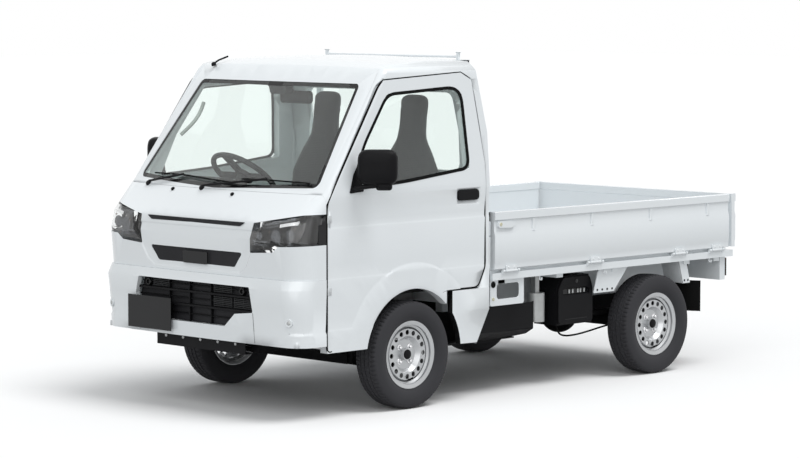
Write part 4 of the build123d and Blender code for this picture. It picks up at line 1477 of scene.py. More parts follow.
def both_sides(shape: Shape) -> Shape:
    """A form and its mirror image."""
    return joined([shape, shape.mirrored()])


# The nose between the lamps


@dataclass(frozen=True)
class NosePanel:
    """The nose panel, set back between the lamps down to a wide U above the bumper.

    Attributes:
        outline: The set-back area from the front, as x and z, going round clockwise.
        depth: How far it is set back.
        ramp: The width of its sloping edge.
    """

    outline: tuple[tuple[float, float], ...] = (
        (-0.425, 0.925), (0.425, 0.925), (0.408, 0.800), (0.370, 0.735), (0.320, 0.702), (-0.320, 0.702),
        (-0.370, 0.735),
        (-0.408, 0.800),
    )
    depth: float = 0.007
    ramp: float = 0.012

    def edges(self) -> list[tuple[Array, Array]]:
        """A point and the inward normal of each edge."""
        first = np.asarray(self.outline, float)
        along = np.roll(first, -1, axis=0) - first
        along /= np.linalg.norm(along, axis=1)[:, None]
        inward = np.stack([along[:, 1], -along[:, 0]], axis=1)
        return list(zip(first, inward))

    def inside(self, points: Array) -> Array:
        """How far inside the outline each point lies: the least of its distances from the edges."""
        flat = points[:, (0, 2)]
        return np.min([(flat - place) @ inward for place, inward in self.edges()], axis=0)

    def make(self) -> None:
        """Copies the CAD panel, cuts its front along the slope's edges and sets the inside back."""
        form = merged_form("nose_panel")
        for place, inward in self.edges():
            for step in (0.0, 0.25, 0.5, 0.75, 1.0):
                x, z = place + inward * self.ramp * step
                front = [f for f in form.faces if f.normal.y < -0.3 and f.calc_center_median().z < 0.95]
                cut_faces(form, front, (x, 0.0, z), (inward[0], 0.0, inward[1]))
        bmesh.ops.triangulate(form, faces=form.faces[:])
        verts = corners_of([f for f in form.faces if f.normal.y < -0.3])
        t = np.clip(self.inside(np.array([v.co for v in verts])) / self.ramp, 0, 1)
        for vert, back in zip(verts, self.depth * t * t * (3 - 2 * t)):
            vert.co.y += float(back)
        pressed_piece(form, "pressed_nose_panel", "nose_panel", "truck")


@dataclass(frozen=True)
class Grilles:
    """The nose's grille and slot, and the bumper's intake with its louvres, ribs and sensors.

    Attributes:
        grille: The upper grille's outline from the front.
        slot: The slim slot's outline.
        intake: The intake's outline.
        louvres: Height, half thickness and front of each bar of the intake.
        ribs: Places of the upright ribs.
        combs: Lowest and highest x of the fine louvres, and z of their lowest and highest bar.
        sockets: Places of the round sockets.
        back: The front of the intake's back plate.
    """

    grille: tuple[tuple[float, float], ...] = (
        (-0.345, 0.808), (0.345, 0.808), (0.281, 0.735), (-0.281, 0.735)
    )
    slot: tuple[tuple[float, float], ...] = ((-0.358, 0.957), (0.358, 0.957), (0.330, 0.938), (-0.330, 0.938))
    intake: tuple[tuple[float, float], ...] = (
        (-0.413, 0.645), (0.413, 0.645), (0.427, 0.521), (0.299, 0.507), (0.220, 0.440), (-0.430, 0.440),
        (-0.445, 0.560),
    )
    louvres: tuple[tuple[float, float, float], ...] = (
        (0.478, 0.0025, -1.655), (0.522, 0.0055, -1.670), (0.556, 0.0025, -1.655), (0.591, 0.0055, -1.670),
        (0.622, 0.0025, -1.655),
    )
    ribs: tuple[float, ...] = (-0.210, -0.057, 0.102)
    combs: tuple[tuple[float, float, float, float], ...] = (
        (0.120, 0.250, 0.602, 0.636), (-0.335, -0.215, 0.602, 0.636), (0.120, 0.250, 0.532, 0.582),
        (0.270, 0.400, 0.532, 0.582),
    )
    sockets: tuple[tuple[float, float], ...] = ((0.330, 0.617), (-0.372, 0.617))
    back: float = -1.644

    def make(self) -> None:
        """Builds the plates, bars, ribs, combs and sockets."""
        plates = [
            front_slab(rounded(self.grille, 0.010), -1.6650, -1.640),
            front_slab(rounded(self.slot, 0.004), -1.6735, -1.630)
        ]
        plates.append(front_slab(rounded(self.intake, 0.010), self.back, -1.632))
        piece = make_piece(
            "grille_plates", joined(plates), GRILLE_MESH, "truck", bevel=0.001
        )
        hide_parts("grilles")
        bars = []
        for height, half, front in self.louvres:
            low, high = span_at(self.intake, height, 1, 0.001)
            bars.append(box_shape((low, front, height - half), (high, self.back + 0.001, height + half)))
        for x in self.ribs:
            low, high = span_at(self.intake, x, 0, 0.001)
            bars.append(box_shape((x - 0.0028, -1.661, low), (x + 0.0028, self.back + 0.001, high)))
        make_piece("intake_louvres", joined(bars), BLACK_PLASTIC, "truck", bevel=0.0012)
        fine = []
        for x_low, x_high, z_low, z_high in self.combs:
            for z in np.arange(z_low, z_high, 0.0085):
                fine.append(box_shape((x_low, -1.657, z), (x_high, self.back + 0.001, z + 0.0045)))
            for x in (x_low, (x_low + x_high) / 2, x_high):
                fine.append(box_shape((x - 0.002, -1.656, z_low), (x + 0.002, self.back + 0.001, z_high)))
        make_piece("intake_combs", joined(fine), CABIN_PLASTIC, "truck", bevel=0.0006)
        rings = []
        for x, z in self.sockets:
            profile = (
                (0.0, 0.021), (0.014, 0.019), (0.018, 0.016), (0.018, 0.012), (0.010, 0.010), (0.010, 0.001)
            )
            rings.append(lathe(profile, (x, self.back, z), (0, -1, 0), 28))
        make_piece("intake_sockets", joined(rings), GLOSS_BLACK, "truck")
        cover = front_slab(rounded(rectangle((-0.085, 0.737), (0.092, 0.792)), 0.006), -1.677, -1.664)
        make_piece("radar_cover", cover, GLOSS_BLACK, "truck", bevel=0.003)


@dataclass(frozen=True)
class BumperTrim:
    """The bumper's corner caps and split lines, the plate's bolts and the undertray's clips.

    Attributes:
        cap: Place and outward direction of the left corner's cap.
        split: Heights and place of the seam below the intake's outer corner.
        bolts: Places of the plate's bolts.
        clips: Places of the undertray's clips.
        levels: Height and depth of the skin's level creases.
        fade_start: How far from the middle the creases begin.
        fade_width: Over what distance they come to their full depth.
    """

    cap: tuple[Point, Point] = ((0.663, -1.6595, 0.487), (0.37, -0.93, 0.0))
    split: tuple[float, float, float] = (0.428, 0.372, 0.520)
    bolts: tuple[tuple[float, float], ...] = ((-0.425, 0.528), (-0.221, 0.528))
    clips: tuple[float, ...] = (-0.26, -0.13, 0.0, 0.13, 0.26)
    levels: tuple[tuple[float, float], ...] = (
        (0.366, 0.0), (0.425, 0.001), (0.437, 0.007), (0.560, 0.003), (0.640, 0.0), (0.690, 0.0)
    )
    fade_start: float = 0.40
    fade_width: float = 0.20

    def press(self) -> None:
        """Copies the bumper and sets its skin back above the lower crease, less and less upwards."""
        form = merged_form("front_bumper")
        for height, _ in self.levels:
            cut_faces(form, [f for f in form.faces if self.is_skin(f)], (0, 0, height), (0, 0, 1))
        moves: dict[bmesh.types.BMVert, Vector] = {}
        for face in form.faces:
            if self.is_skin(face):
                pull = Vector((face.normal.x, face.normal.y, 0)) * face.calc_area()
                for vert in face.verts:
                    moves[vert] = moves.get(vert, Vector()) + pull
        for vert, direction in moves.items():
            corner = max(0.0, min(1.0, (abs(vert.co.x) - self.fade_start) / self.fade_width))
            back = float(rows_between(np.array([vert.co.z]), self.levels)[0]) * corner
            vert.co -= direction.normalized() * back
        pressed_piece(form, "pressed_bumper", "front_bumper", "truck")

    @staticmethod
    def is_skin(face: bmesh.types.BMFace) -> bool:
        """True for a face of the bumper's outer skin."""
        return face.normal.y < -0.2 or face.normal.x * face.calc_center_median().x > 0.14

    def make(self) -> None:
        """Builds each of them."""
        self.press()
        place, direction = self.cap
        ring = lathe(CAP_RING, place, direction, 40)
        make_piece("bumper_caps", both_sides(ring), WHITE_PAINT, "truck")
        eye = lathe(SENSOR_EYE, place, direction, 32)
        make_piece("bumper_sensors", both_sides(eye), PLATED_STEEL, "truck")
        x, low, high = self.split
        z = np.linspace(low, high, 12)
        front = np.interp(z, (0.366, 0.560), (-1.672, -1.690)) + 0.020 * (x / 0.7374) ** 2
        seam = tube(np.stack([np.full_like(z, x), front + 0.0004, z], axis=1), 0.0010, 6)
        make_piece("bumper_seams", both_sides(seam), SEAL_RUBBER, "truck")
        heads = [lathe(PLATE_BOLT, (x, -1.6920, z), (0, -1, 0), 16) for x, z in self.bolts]
        make_piece("plate_bolts", joined(heads), GLOSS_BLACK, "truck")
        dots = [lathe(UNDERTRAY_CLIP, (x, -1.6400, 0.352), (0, -1, 0), 14) for x in self.clips]
        make_piece("undertray_clips", joined(dots), PLATED_STEEL, "truck")


# Doors and their fittings


@dataclass(frozen=True)
class DoorTrim:
    """What a door carries outside: handle, window seal and mirror, and the seal in its shut line.

    Attributes:
        side: The side it is on.
        window: The window's outline from the side, as y and z.
        shut: The door's outline above the sill.
        handle: Lowest and highest y and z of the handle.
        head: The mirror head's centre.
        turn: How far the head is turned outwards, in degrees.
        width: The head's width.
        height: The head's height.
        swell: Scale and distance forwards of each layer of the head.
        lobe_swell: The same for the lobe below it.
        sail: The sail plate's outline from the side.
        arm_foot: Where the arm leaves the door.
    """

    side: Side
    window: tuple[tuple[float, float], ...] = (
        (-1.030, 1.574), (-0.560, 1.598), (-0.500, 1.560), (-0.470, 1.185), (-0.924, 1.138), (-1.310, 1.114),
        (-1.210, 1.330),
    )
    shut: tuple[tuple[float, float], ...] = (
        (-1.470, 0.330), (-1.470, 1.045), (-1.388, 1.175), (-1.084, 1.612), (-1.048, 1.640), (-0.500, 1.668),
        (-0.425, 1.630),
        (-0.356, 1.210), (-0.356, 0.680), (-0.410, 0.578), (-0.640, 0.578),
    )
    handle: tuple[float, float, float, float] = (-0.556, -0.404, 1.024, 1.079)
    head: Point = (0.8305, -1.222, 1.226)
    turn: float = 45.0
    width: float = 0.196
    height: float = 0.172
    swell: tuple[tuple[float, float], ...] = (
        (0.40, 0.0362), (0.62, 0.0350), (0.78, 0.0315), (0.89, 0.0255),
        (0.96, 0.0165), (1.0, 0.002), (1.0, -0.026), (0.985, -0.032),
    )
    lobe_swell: tuple[tuple[float, float], ...] = (
        (0.6, 0.024), (0.85, 0.018), (1.0, 0.006), (1.0, -0.016), (0.9, -0.022),
    )
    sail: tuple[tuple[float, float], ...] = (
        (-1.322, 1.100), (-1.228, 1.106), (-1.262, 1.228), (-1.290, 1.190),
    )
    arm_foot: Point = (0.7315, -1.294, 1.1185)

    def make(self) -> None:
        """Builds the door's fittings."""
        word = self.side.word
        body = f"door_{word}"
        y0, y1, z0, z1 = self.handle
        grip = rounded(rectangle((y0, z0), (y1, z1)), 0.022, 7)
        layers = [on_side(grip, -0.014), on_side(grip, -0.002)]
        centre = grip.mean(axis=0)
        layers += [
            on_side(centre + (grip - centre) * (0.99, 0.95), 0.0005),
            on_side(centre + (grip - centre) * (0.95, 0.75), 0.0018)
        ]
        shape = turned_out(capped(np.stack(layers)))
        make_piece(f"door_handle_{word}", shape.on(self.side), BLACK_PLASTIC, body)
        outer = rounded(self.window, 0.055, 9)
        _, wide = ribbon(outer, -0.005)
        _, narrow = ribbon(outer, 0.011)
        shape = hoop(wide, narrow, on_side, 0.0012, -0.006)
        make_piece(f"window_seal_{word}", shape.on(self.side), SEAL_RUBBER, body)
        line = rounded(self.shut, 0.03, 7)
        path = on_side(line, -0.0065)
        strip = tube(path, 0.0052, 8)
        make_piece(f"door_shut_seal_{word}", strip.on(self.side), SEAL_RUBBER, "truck")
        self.mirror()

    def mirror(self) -> None:
        """The mirror: a rounded shell swelling from its front, a lobe, an arm, a sail plate and the glass."""
        word = self.side.word
        turn = math.radians(self.turn)
        across = np.array((math.cos(turn), math.sin(turn), 0.0))
        ahead = np.array((math.sin(turn), -math.cos(turn), 0.0))
        up = np.array((0.0, 0.0, 1.0))

        def shell(
            centre: Array, width: float, height: float, corner: float, rows: Sequence[tuple[float, float]]
        ) -> Shape:
            """A rounded rectangle carried forwards, at a scale and distance for each row."""
            edge = rounded(rectangle((-width / 2, -height / 2), (width / 2, height / 2)), corner, 8)
            layers = []
            for scale, away in rows:
                tall = edge[:, 1:] * (1 - (1 - scale) * width / height)
                layers.append(centre + (edge[:, :1] * scale) * across + tall * up + away * ahead)
            return turned_out(capped(np.stack(layers)))

        head = np.array(self.head)
        parts = [shell(head, self.width, self.height, 0.052, self.swell)]
        lobe = head + 0.030 * across - (self.height / 2 + 0.004) * up
        parts.append(shell(lobe, 0.080, 0.044, 0.018, self.lobe_swell))
        foot = np.array(self.arm_foot)
        elbow = head - 0.050 * across - (self.height / 2 + 0.006) * up
        parts.append(
            tube([foot, (foot + elbow) / 2 + (0, 0, 0.002), elbow, lobe + (0, 0, 0.004)], 0.0120, 14)
        )
        make_piece(
            f"mirror_shell_{word}",
            joined(parts).on(self.side),
            BLACK_PLASTIC,
            f"door_{word}",
            sharp=50.0,
        )
        sail = rounded(self.sail, 0.008)
        plate = turned_out(capped(np.stack([on_side(sail, -0.004), on_side(sail, 0.0040)])))
        piece = make_piece(
            f"mirror_sail_{word}",
            plate.on(self.side),
            BLACK_PLASTIC,
            f"door_{word}",
            bevel=0.0015,
        )
        glass = shell(
            head - 0.0325 * ahead,
            self.width - 0.022,
            self.height - 0.022,
            0.044,
            ((1.0, 0.001), (1.0, -0.0015)),
        )
        make_piece(f"mirror_glass_{word}", glass.on(self.side), BRIGHT_METAL, f"door_{word}")
        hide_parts(f"mirror_{word}")


# Cargo bed


GATE_SECTION = (
    (0.003, 0.656), (0.003, 0.686), (0.0, 0.694), (0.0, 0.829), (0.008, 0.856), (0.008, 0.905), (0.0, 0.909),
    (0.0, 0.949),
    (0.034, 0.949), (0.034, 0.909), (0.030, 0.905), (0.030, 0.656),
)


@dataclass(frozen=True)
class CargoGate:
    """One gate of the bed: a pressed panel with a top rail, stiffeners, hinges and latches.

    Attributes:
        node: The gate's node, which is also its body's name.
        stiffeners: Places of the upright stiffeners along the gate.
        hinges: Places of the hinges along the gate.
        latches: Places of the latches, with the way that each lever points.
    """

    node: str
    stiffeners: tuple[float, ...]
    hinges: tuple[float, ...]
    latches: tuple[tuple[float, float], ...]

    def make(self) -> None:
        """Builds the gate in its own plane, as a side gate, and carries it to its place."""
        low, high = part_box(self.node)
        side = self.node != "tailgate"
        left = "left" in self.node
        reach = 0.7290 if side else 1.6885
        start, end = (low.y, high.y) if side else (low.x, high.x)

        def carried(shape: Shape) -> Shape:
            """A form drawn as on the left gate, mirrored or with x and y changed over for this gate."""
            if side:
                return shape if left else shape.mirrored()
            return Shape(shape.points[:, (1, 0, 2)], [f[:, ::-1] for f in shape.faces])

        panel = [front_slab([(reach - depth, z) for depth, z in GATE_SECTION], start, end)]
        for y in self.stiffeners:
            panel.append(box_shape((reach - 0.009, y - 0.009, 0.845), (reach - 0.001, y + 0.009, 0.907)))
        body = self.node
        piece = make_piece(
            f"{self.node}_panel", carried(joined(panel)), WHITE_PAINT, body, bevel=0.0018
        )
        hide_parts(self.node)
        leaves = []
        for y in self.hinges:
            leaves.append(
                tube([(reach + 0.0002, y - 0.042, 0.645), (reach + 0.0002, y + 0.042, 0.645)], 0.0074, 16)
            )
            leaves.append(
                side_slab(
                    rounded(rectangle((y - 0.040, 0.647), (y + 0.040, 0.674)), 0.006),
                    reach - 0.001,
                    reach + 0.0052,
                )
            )
            for place in (y - 0.022, y + 0.022):
                leaves.append(lathe(HINGE_RIVET, (reach + 0.005, place, 0.663), (1, 0, 0), 12))
        make_piece(
            f"{self.node}_hinges", carried(joined(leaves)), WHITE_PAINT, body, bevel=0.0008
        )
        levers, screws = [], []
        for y, way in self.latches:
            outline = np.array(
                ((0.0, 0.872), (0.095, 0.868), (0.130, 0.884), (0.095, 0.898), (0.0, 0.902))
            ) * (way, 1.0) + (y, 0.0)
            levers.append(side_slab(rounded(outline, 0.010), reach - 0.006, reach + 0.0055))
            screws.append(lathe(LATCH_SCREW, (reach, y + way * 0.016, 0.887), (1, 0, 0), 20))
        if levers:
            make_piece(
                f"{self.node}_latches", carried(joined(levers)), WHITE_PAINT, body, bevel=0.002
            )
            make_piece(
                f"{self.node}_latch_screws", carried(joined(screws)), ZINC, body, bevel=0.0006
            )


@dataclass(frozen=True)
class BedTrim:
    """The guard frame, the bed's front brackets, rope hooks, rear fenders, mud flaps and underfloor shield.

    Attributes:
        bracket: The front bracket's outline from the side.
        window: The opening in it.
        hook_ys: Places of the rope hooks.
        hook_path: A rope hook's path, as x and z.
        fender: The fender's bent sheet, as y and z.
        flanges: The fender's two outer flanges.
        rivet_ys: Places of the rivets in the fender's flanges.
        flap: A mud flap from above, as x and y.
        shield: The underfloor shield's bent sheet, as x and z.
        lid: The battery box's outer cover, as y and z.
        vent: Lowest and highest y and z of the slot in it.
        rib_ys: Places of the slot's ribs.
    """

    bracket: tuple[tuple[float, float], ...] = (
        (-0.283, 0.465), (-0.028, 0.465), (-0.028, 0.628), (-0.283, 0.628)
    )
    window: tuple[tuple[float, float], ...] = (
        (-0.235, 0.499), (-0.065, 0.499), (-0.065, 0.577), (-0.235, 0.577)
    )
    hook_ys: tuple[float, ...] = (0.081, 0.591, 1.480)
    hook_path: tuple[tuple[float, float], ...] = (
        (0.713, 0.606), (0.713, 0.580), (0.727, 0.580), (0.727, 0.592)
    )
    fender: tuple[tuple[float, float], ...] = (
        (0.700, 0.474), (0.828, 0.604), (0.880, 0.623), (1.185, 0.623), (1.232, 0.604), (1.273, 0.474),
        (1.278, 0.474),
        (1.236, 0.608), (1.187, 0.6277), (0.879, 0.6277), (0.824, 0.608), (0.695, 0.474),
    )
    flanges: tuple[tuple[tuple[float, float], ...], ...] = (
        ((0.532, 0.474), (0.698, 0.474), (0.827, 0.605), (0.870, 0.623), (0.870, 0.627), (0.578, 0.627)),
        ((1.275, 0.474), (1.338, 0.474), (1.296, 0.627), (1.195, 0.627), (1.195, 0.623), (1.234, 0.605)),
    )
    rivet_ys: tuple[float, ...] = (0.56, 0.60, 0.64, 0.68, 1.29, 1.32)
    flap: tuple[tuple[float, float], ...] = ((0.545, 1.326), (0.712, 1.408), (0.709, 1.413), (0.542, 1.331))
    shield: tuple[tuple[float, float], ...] = (
        (0.418, 0.246), (0.602, 0.290), (0.652, 0.320), (0.652, 0.458), (0.646, 0.458), (0.646, 0.325),
        (0.600, 0.296),
        (0.418, 0.252),
    )
    lid: tuple[tuple[float, float], ...] = (
        (0.283, 0.322), (0.556, 0.322), (0.556, 0.507), (0.531, 0.571), (0.320, 0.571), (0.283, 0.507)
    )
    vent: tuple[float, float, float, float] = (0.318, 0.533, 0.476, 0.511)
    rib_ys: tuple[float, ...] = (0.372, 0.400, 0.441, 0.462, 0.492)

    def make(self) -> None:
        """Builds each of them on both sides."""
        self.guard()
        plate = rounded(self.bracket, 0.012, 6)
        opening = rounded(self.window, 0.022, 6)
        bracket = hoop(plate, opening, upright, 0.7015, 0.6965)
        make_piece("bed_brackets", both_sides(bracket), WHITE_PAINT, "truck", bevel=0.001)
        plugs = lathe(BRACKET_PLUG, (0.7012, -0.262, 0.576), (1, 0, 0), 24)
        make_piece("bracket_plugs", both_sides(plugs), SEAL_RUBBER, "truck")
        screw = lathe(BRACKET_SCREW, (0.7012, -0.262, 0.501), (1, 0, 0), 6)
        make_piece("bracket_screws", both_sides(screw), ZINC, "truck", bevel=0.0006)
        hooks = []
        for y in self.hook_ys:
            path = [(x, y, z) for x, z in self.hook_path]
            hooks += [tube([a, b], 0.004, 10) for a, b in zip(path, path[1:])]
        make_piece("rope_hooks", both_sides(joined(hooks)), WHITE_PAINT, "truck")
        sheets = [side_slab(self.fender, 0.570, 0.694)]
        sheets += [side_slab(rounded(flange, 0.006), 0.690, 0.694) for flange in self.flanges]
        piece = make_piece(
            "fender_sheets", both_sides(joined(sheets)), WHITE_PAINT, "truck", bevel=0.001
        )
        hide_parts("rear_fenders")
        rivets = []
        for y in self.rivet_ys:
            rivets.append(lathe(FENDER_RIVET, (0.694, y, 0.489), (1, 0, 0), 12))
        make_piece("fender_rivets", both_sides(joined(rivets)), SEAL_RUBBER, "truck")
        flap = level_slab(self.flap, 0.310, 0.480)
        strip = box_shape((0.545, 1.3253, 0.460), (0.686, 1.331, 0.600))
        piece = make_piece(
            "rear_flaps", both_sides(joined([flap, strip])), SEAL_RUBBER, "truck", bevel=0.001
        )
        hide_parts("mud_flaps")
        shield = front_slab(self.shield, -0.400, 0.096)
        make_piece("side_shield", shield, BLACK_PLASTIC, "truck", bevel=0.003)
        self.battery_cover()

    def battery_cover(self) -> None:
        """The battery box's cover: a raised plate round a slot with pale ribs, and a groove near its foot."""
        y0, y1, z0, z1 = self.vent
        edge = rounded(self.lid, 0.022, 6)
        slot = rounded(
            ((y0, z0), (y1, z0), (y1, z1 - 0.010), (y1 - 0.03, z1), (y0 + 0.03, z1), (y0, z1 - 0.010)),
            0.008,
            6,
        )
        cover = hoop(edge, slot, upright, 0.6655, 0.6552)
        make_piece("battery_cover", cover, BLACK_PLASTIC, "truck", bevel=0.0035)
        inner = rounded(rectangle((y0 + 0.01, z0 + 0.004), (y1 - 0.01, z1 - 0.006)), 0.004)
        back = side_slab(inner, 0.6550, 0.6562)
        make_piece("battery_slot_back", back, GLOSS_BLACK, "truck")
        ribs = [
            box_shape((0.6560, y - 0.005, z0 + 0.006), (0.6622, y + 0.005, z1 - 0.008)) for y in self.rib_ys
        ]
        make_piece("battery_slot_ribs", joined(ribs), PLATED_STEEL, "truck", bevel=0.001)
        groove = box_shape((0.6650, 0.330, 0.3445), (0.6664, 0.510, 0.3475))
        knob = lathe(COVER_KNOB, (0.6652, 0.4235, 0.545), (1, 0, 0), 24)
        make_piece("battery_cover_marks", joined([groove, knob]), GLOSS_BLACK, "truck")

    def guard(self) -> None:
        """The guard frame behind the cab: corner and inner posts, bars and the two rope hooks."""
        front, rear = -0.312, -0.2873
        posts = []
        for low, high, bottom, top in ((0.660, 0.700, 0.470, 0.949), (0.520, 0.555, 0.660, 1.725)):
            post = box_shape((low, front, bottom), (high, rear, top))
            posts += [post, post.mirrored()]
        posts.append(box_shape((-0.555, front, 1.690), (0.555, rear, 1.725)))
        posts.append(box_shape((-0.700, front, 0.660), (0.700, rear, 0.949)))
        piece = make_piece("guard_posts", joined(posts), WHITE_PAINT, "truck", bevel=0.003)
        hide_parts("guard_frame")
        hook = box_shape((0.474, -0.306, 1.720), (0.498, -0.294, 1.765))
        make_piece("guard_hooks", both_sides(hook), WHITE_PAINT, "truck", bevel=0.004)
        bar = tube([(-0.486, -0.300, 1.741), (0.0, -0.300, 1.7405), (0.486, -0.300, 1.741)], 0.006, 14)
        make_piece("guard_bar", bar, WHITE_PAINT, "truck")
        cap = box_shape((0.662, -0.311, 0.905), (0.7035, -0.288, 0.9505))
        make_piece("guard_end_plugs", both_sides(cap), SEAL_RUBBER, "truck", bevel=0.003)


def brake_cable() -> None:
    """The sagging brake cable from under the battery box to the left rear brake, on one smooth curve."""
    points = (
        (0.600, 0.335, 0.316), (0.600, 0.347, 0.268), (0.598, 0.405, 0.246), (0.592, 0.505, 0.245),
        (0.580, 0.625, 0.254),
        (0.568, 0.745, 0.267), (0.563, 0.855, 0.276), (0.580, 0.922, 0.279), (0.604, 0.950, 0.280),
    )
    curve = bpy.data.curves.new("brake_cable_line", "CURVE")
    curve.dimensions = "3D"
    spline = curve.splines.new("NURBS")
    spline.points.add(len(points) - 1)
    spline.points.foreach_set("co", [value for point in points for value in (*point, 1.0)])
    spline.order_u = 3
    spline.use_endpoint_u = True
    curve.resolution_u = 12
    curve.bevel_depth = 0.005
    curve.bevel_resolution = 4
    curve.use_fill_caps = True
    curve.materials.append(SEAL_RUBBER.material())
    piece = bpy.data.objects.new("brake_cable_line", curve)
    bpy.context.scene.collection.objects.link(piece)
    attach(piece, "truck")


# Screen fittings


@dataclass(frozen=True)
class Wipers:
    """Two wipers that lie along the screen's foot, the antenna and the washer nozzles.

    Attributes:
        arms: Pivot x, elbow x and z, tip x and z of each.
    """

    arms: tuple[tuple[float, float, float, float, float], ...] = (
        (-0.540, -0.264, 1.158, 0.150, 1.134), (-0.081, 0.342, 1.160, 0.610, 1.150),
    )

    def make(self) -> None:
        """Builds the arms, blades and pivots, the antenna and the nozzles."""
        arms, blades = [], []
        for pivot, elbow_x, elbow_z, tip_x, tip_z in self.arms:
            foot = (pivot, float(CAB.front_y(pivot, 1.096)) + 0.012, 1.090)
            crank = (pivot + 0.012, float(CAB.front_y(pivot, 1.110)) - 0.014, 1.112)
            x = np.linspace(crank[0], elbow_x, 16)
            z = np.interp(x, (crank[0], elbow_x), (crank[2], elbow_z))
            path = np.stack([x, CAB.front_y(x, z) - 0.020, z], axis=1)
            arms.append(tube(path, 0.0058, 10))
            arms.append(lathe(WIPER_PIVOT, foot, (0, -0.75, 0.66), 20))
            start = elbow_x - 0.62 * (tip_x - elbow_x)
            x = np.linspace(start, tip_x, 30)
            z = np.interp(x, (start, elbow_x, tip_x), (elbow_z - 0.006, elbow_z - 0.004, tip_z))
            for out, half in ((0.014, 0.0040), (0.006, 0.0024)):
                path = np.stack([x, CAB.front_y(x, z) - out, z], axis=1)
                blades.append(tube(path, half, 8))
        piece = make_piece("wiper_arms", joined(arms), BLACK_PLASTIC, "truck")
        make_piece("wiper_blades", joined(blades), SEAL_RUBBER, "truck")
        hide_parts("wipers")
        base = lathe(ANTENNA_BASE, (-0.545, -1.060, 1.694), (0, -0.3, 1), 20)
        rod = tube([(-0.545, -1.060, 1.700), (-0.530, -1.040, 1.718), (-0.500, -1.000, 1.738)], 0.0048, 10)
        piece = make_piece("antenna_rod", joined([base, rod]), BLACK_PLASTIC, "truck")
        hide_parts("antenna")
        nozzles = []
        for x, z in ((-0.30, 1.083), (0.16, 1.079)):
            y = float(CAB.front_y(x, z))
            nozzles.append(lathe(WASHER_NOZZLE, (x, y, z), (0, -0.6, 0.8), 16))
        make_piece("washer_nozzles", joined(nozzles), BLACK_PLASTIC, "truck")


# Seats


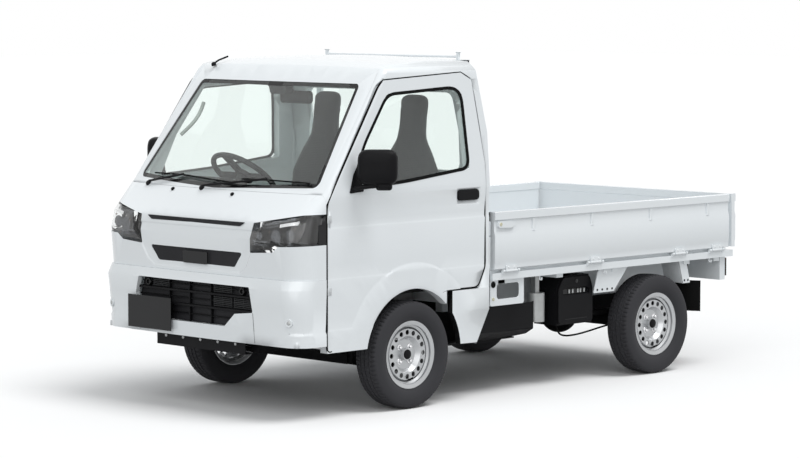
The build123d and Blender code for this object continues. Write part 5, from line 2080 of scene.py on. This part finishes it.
@dataclass(frozen=True)
class Seat:
    """One seat: two padded cloth pieces, a cushion and a tall back with its headrest.

    Attributes:
        side: The side it is on.
        centre: Its middle across.
        back: Half width and height of the back's outline, from its foot to the top of the headrest.
    """

    side: Side
    centre: float = 0.320
    back: tuple[tuple[float, float], ...] = (
        (0.200, 0.715), (0.222, 0.900), (0.218, 1.130), (0.150, 1.250), (0.098, 1.330), (0.088, 1.540),
        (0.060, 1.562),
    )

    def pad(
        self, name: str, outline: Sequence[Sequence[float]], half: float, corner: float, cap: float
    ) -> bpy.types.Object:
        """A pad from its side outline: level slices across, drawn in at both ends, then swollen as cloth.

        A slice at s, from -1 to 1 across, is the outline scaled about its middle by 1 - 0.16 |s|^6.

        Args:
            name: What it is.
            outline: Its outline from the side, as y and z.
            half: Half its width.
            corner: The radius of the outline's corners.
            cap: How far the swelling may move a point.

        Returns:
            The pad.
        """
        edge = rounded(outline, corner, 7)
        middle = edge.mean(axis=0)
        share = np.linspace(-1, 1, 15)
        scale = 1 - 0.16 * np.abs(share) ** 6
        flat = middle + (edge - middle) * scale[:, None, None]
        x = np.broadcast_to((self.centre + half * share)[:, None], flat.shape[:2])
        shape = turned_out(capped(np.concatenate([x[..., None], flat], axis=2)))
        piece = make_piece(
            f"{name}_{self.side.word}", shape.on(self.side), SEAT_CLOTH, "truck", sharp=60.0
        )
        self.swell(piece, cap)
        return piece

    @staticmethod
    def swell(piece: bpy.types.Object, cap: float) -> None:
        """Remeshes a pad, lets cloth pressure swell it, caps each point's move and smooths it."""
        remesh = piece.modifiers.new("grid", "REMESH")
        remesh.mode = "VOXEL"
        remesh.voxel_size = 0.012
        scene = bpy.context.scene
        view = bpy.context.view_layer
        view.update()
        mesh = bpy.data.meshes.new_from_object(piece.evaluated_get(bpy.context.evaluated_depsgraph_get()))
        piece.modifiers.clear()
        start = np.empty(len(mesh.vertices) * 3)
        mesh.vertices.foreach_get("co", start)
        piece.data = mesh
        cloth = piece.modifiers.new("swell", "CLOTH")
        cloth.settings.use_pressure = True
        cloth.settings.uniform_pressure_force = 4.0
        cloth.settings.effector_weights.gravity = 0.0
        cloth.settings.quality = 5
        for number in range(1, 13):
            scene.frame_set(number)
        moved = bpy.data.meshes.new_from_object(piece.evaluated_get(bpy.context.evaluated_depsgraph_get()))
        end = np.empty(len(moved.vertices) * 3)
        moved.vertices.foreach_get("co", end)
        step = (end - start).reshape(-1, 3)
        length = np.linalg.norm(step, axis=1)[:, None] + 1e-12
        final = start.reshape(-1, 3) + step * np.minimum(1.0, cap / length)
        piece.modifiers.clear()
        scene.frame_set(1)
        mesh.vertices.foreach_set("co", final.ravel())
        mesh.update()
        mesh.shade_smooth()

    def make(self) -> None:
        """Builds the pads."""
        cushion = ((-0.950, 0.615), (-0.945, 0.705), (-0.475, 0.688), (-0.468, 0.615))
        piece = self.pad("seat_cushion", cushion, 0.232, 0.030, 0.018)
        self.tall_back()
        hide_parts("seats")

    def tall_back(self) -> None:
        """The back and its headrest in one: slices of the front outline, leaning back with height.

        A slice at s, from -1 to 1 through the pad, is the outline scaled about its centre line
        by 1 - 0.10 s^4, and in height by 1 - 0.03 s^4.
        """
        half = [(-a, z) for a, z in reversed(self.back)] + list(self.back)
        edge = rounded(half, 0.040, 6)
        share = np.linspace(-1, 1, 9)
        thick = np.interp(edge[:, 1], (0.72, 1.25, 1.34, 1.56), (0.050, 0.040, 0.030, 0.024))
        lean = np.interp(edge[:, 1], (0.72, 1.56), (-0.535, -0.448))
        scale = 1 - 0.10 * share[:, None] ** 4
        x = self.centre + edge[:, 0] * scale
        z = 1.14 + (edge[:, 1] - 1.14) * (1 - 0.03 * share[:, None] ** 4)
        y = lean + share[:, None] * thick
        shape = turned_out(capped(np.stack([x, y, z], axis=2)))
        piece = make_piece(
            f"seat_back_{self.side.word}", shape.on(self.side), SEAT_CLOTH, "truck", sharp=60.0
        )
        self.swell(piece, 0.016)


@dataclass(frozen=True)
class CabinTrim:
    """What shows through the glass: inner mirror, camera housing, grab handles and dash cowl."""

    def make(self) -> None:
        """Builds them."""
        housing = front_slab(
            rounded(((-0.075, 1.628), (0.060, 1.628), (0.045, 1.560), (-0.060, 1.560)), 0.012), -1.105, -1.055
        )
        make_piece("camera_housing", housing, CABIN_PLASTIC, "truck", bevel=0.004)
        edge = rounded(rectangle((-0.115, -0.032), (0.115, 0.032)), 0.024, 7)
        rows = [
            np.stack([edge[:, 0] * s + 0.04, np.full(len(edge), y), edge[:, 1] * s + 1.540], axis=1)
            for s, y in ((0.9, -1.034), (1.0, -1.026), (1.0, -1.012), (0.92, -1.006))
        ]
        stem = tube([(0.03, -1.050, 1.588), (0.04, -1.030, 1.560), (0.04, -1.020, 1.545)], 0.007, 10)
        make_piece(
            "inner_mirror",
            joined([turned_out(capped(np.stack(rows))), stem]),
            CABIN_PLASTIC,
            "truck",
        )
        grips = []
        for sign in (1.0, -1.0):
            t = np.linspace(0, 1, 14)
            y = -1.235 + 0.115 * t
            z = 1.330 + 0.165 * t
            x = 0.640 - 0.05 * t - 0.030 * np.sin(np.pi * t)
            grips.append(tube(np.stack([sign * x, y + 0.03, z], axis=1), 0.0095, 12))
        make_piece("grab_handles", joined(grips), PALE_TRIM, "truck")
        cowl = side_slab(
            rounded(
                (
                    (-1.385, 1.080), (-1.285, 1.040), (-1.225, 1.062),
                    (-1.232, 1.118), (-1.290, 1.132), (-1.370, 1.112),
                ),
                0.012,
            ),
            -0.490,
            -0.200,
        )
        make_piece("dash_cowl", cowl, CABIN_PLASTIC, "truck", bevel=0.004)


def main() -> None:
    logging.basicConfig(level=logging.INFO, format="%(name)s: %(message)s")
    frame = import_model()
    bpy.context.scene.view_settings.view_transform = "Standard"
    Viewpoint().make()
    Studio().make()
    dress_nodes(frame["nodes"])
    pressed = PressedSide()
    pressed.press("cab_shell", "truck", False)
    for side in Side:
        pressed.press(f"door_{side.word}", f"door_{side.word}", True)
        HeadLamp(side).make()
        DoorTrim(side).make()
        Seat(side).make()
    NosePanel().make()
    Grilles().make()
    BumperTrim().make()
    CabinTrim().make()
    Wipers().make()
    wheels()
    ScreenBorder().make()
    for side in Side:
        CargoGate(
            f"side_gate_{side.word}",
            (0.019, 0.480, 0.961, 1.449),
            (-0.157, 0.503, 1.206, 1.528),
            ((-0.255, 1.0),),
        ).make()
    CargoGate("tailgate", (-0.400, 0.0, 0.400), (-0.520, 0.520), ()).make()
    BedTrim().make()
    brake_cable()


if __name__ == "__main__":
    main()
